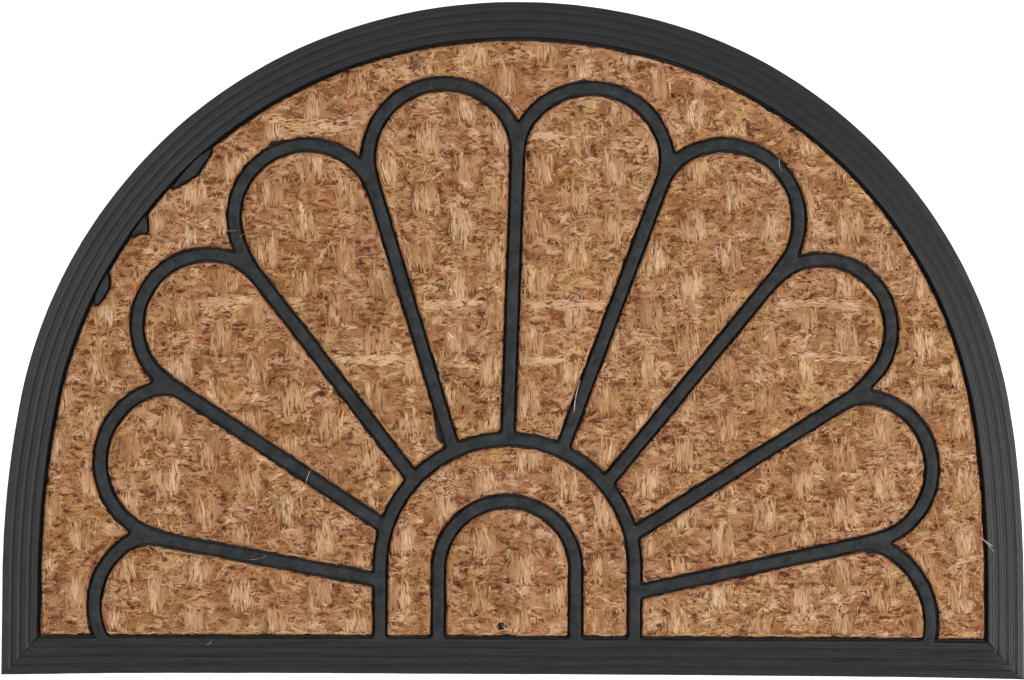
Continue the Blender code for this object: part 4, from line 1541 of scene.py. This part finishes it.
def camera():
    data = bpy.data.cameras.new("camera")
    data.sensor_width = SENSOR
    data.lens = SENSOR * (CAMERA_HEIGHT - VIEW_PLANE_Z) / VIEW_WIDTH
    data.clip_start = 0.1
    data.clip_end = 100.0
    eye = bpy.data.objects.new("camera", data)
    eye.location = (CAMERA_AT[0], CAMERA_AT[1], CAMERA_HEIGHT)
    eye.rotation_euler = (0.0, 0.0, CAMERA_TURN)
    bpy.context.scene.collection.objects.link(eye)
    bpy.context.scene.camera = eye


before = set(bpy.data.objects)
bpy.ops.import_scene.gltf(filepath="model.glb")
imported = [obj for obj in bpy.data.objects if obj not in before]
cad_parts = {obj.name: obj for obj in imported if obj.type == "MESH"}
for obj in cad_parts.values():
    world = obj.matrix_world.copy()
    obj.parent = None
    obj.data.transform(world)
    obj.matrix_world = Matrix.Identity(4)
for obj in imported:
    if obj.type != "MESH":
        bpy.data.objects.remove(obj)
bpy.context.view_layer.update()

outline = np.array(half_round(0.0, 0.0))[:, :2]
SHIFT = (outline.min(axis=0) + outline.max(axis=0)) / 2
sides = np.hypot(*np.diff(outline, axis=0).T)
along_outline = np.concatenate([[0.0], np.cumsum(sides)]) * MM
arch_length = sides[:-BASE_STEPS - 1].sum() * MM
openings = fields(0.0, BORDER_ON_BASE - RIM_ON_BASE)
border = [(x, y) for x, y, sunk in half_round(BORDER_ON_ARCH, BORDER_ON_BASE)]
inner_rim = [(x, y) for x, y, sunk in half_round(RIM_ON_ARCH, RIM_ON_BASE)]
plan_map = PlanMap(openings, border, softened(FLAPS + NOTCHES), inner_rim)

black = linear(17, 17, 17)
rim_rubber = rubber_material("rubber_rim", black, linear(37, 37, 37), 0.46, 0.34, arch_length)
rib_rubber = rubber_material("rubber_rib", linear(17, 18, 19), linear(49, 50.5, 52), 0.60, 0.25)
# painted shade: matte rubber for the rim's inner wall and the coir's channels; in the channels it is the
# rubber pressed into the coir and also stands in for the shade of the gaps
dark_rubber = rubber_material("rubber_pressed_in_and_shade", linear(38, 38, 39), linear(50, 50, 51), 0.80, 0.15)
packed = cloth_material()
weft_fibre = fibre_material("coir_weft_fibre", (0.55, 1.15, 0.0), (0.25, 0.125, 0.05))
warp_fibre = fibre_material("coir_warp_fibre", (1.5, 0.5, 0.0), (0.40, 0.29, 0.18))

rim_piece = rim(rim_rubber, dark_rubber)
rib_piece = cut_out("rubber_ribs", network(51, 0.12, 0.06), RIB_FOOT, RIB_TOP, RIB_ROUND, 2, rib_rubber)
flap_loops = [wandering(loop, 81, 0.1, 0.25) for loop in softened(FLAPS)]
flap_piece = cut_out("rubber_flaps", flap_loops, RIB_FOOT, FLAP_TOP, 0.5, 2, rib_rubber)
cloth_piece = cloth(packed, dark_rubber)

draws = np.random.default_rng(20)
fibre_pieces = [
    warp_fibres(draws, warp_fibre),
    weft_fibres(draws, "long_weft_fibres", LONG_LOCKS, 4, (4.5, 10.0), weft_fibre),
    weft_fibres(draws, "short_weft_fibres", SHORT_LOCKS, 3, (2.4, 6.0), weft_fibre),
    under_fibres(draws, weft_fibre),
    edge_fibres(draws, weft_fibre),
    stray_yarns(draws, weft_fibre),
    tangle_fibres(draws, warp_fibre),
    loose_hairs(draws, warp_fibre),
]

for piece in (rim_piece, rib_piece, flap_piece):
    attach(piece, "root")
for piece in [cloth_piece] + fibre_pieces:
    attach(piece, "root")
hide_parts("rubber_moulding")
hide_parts("coir_matting")

floor_and_light()
camera()
bpy.context.scene.view_settings.view_transform = "Standard"
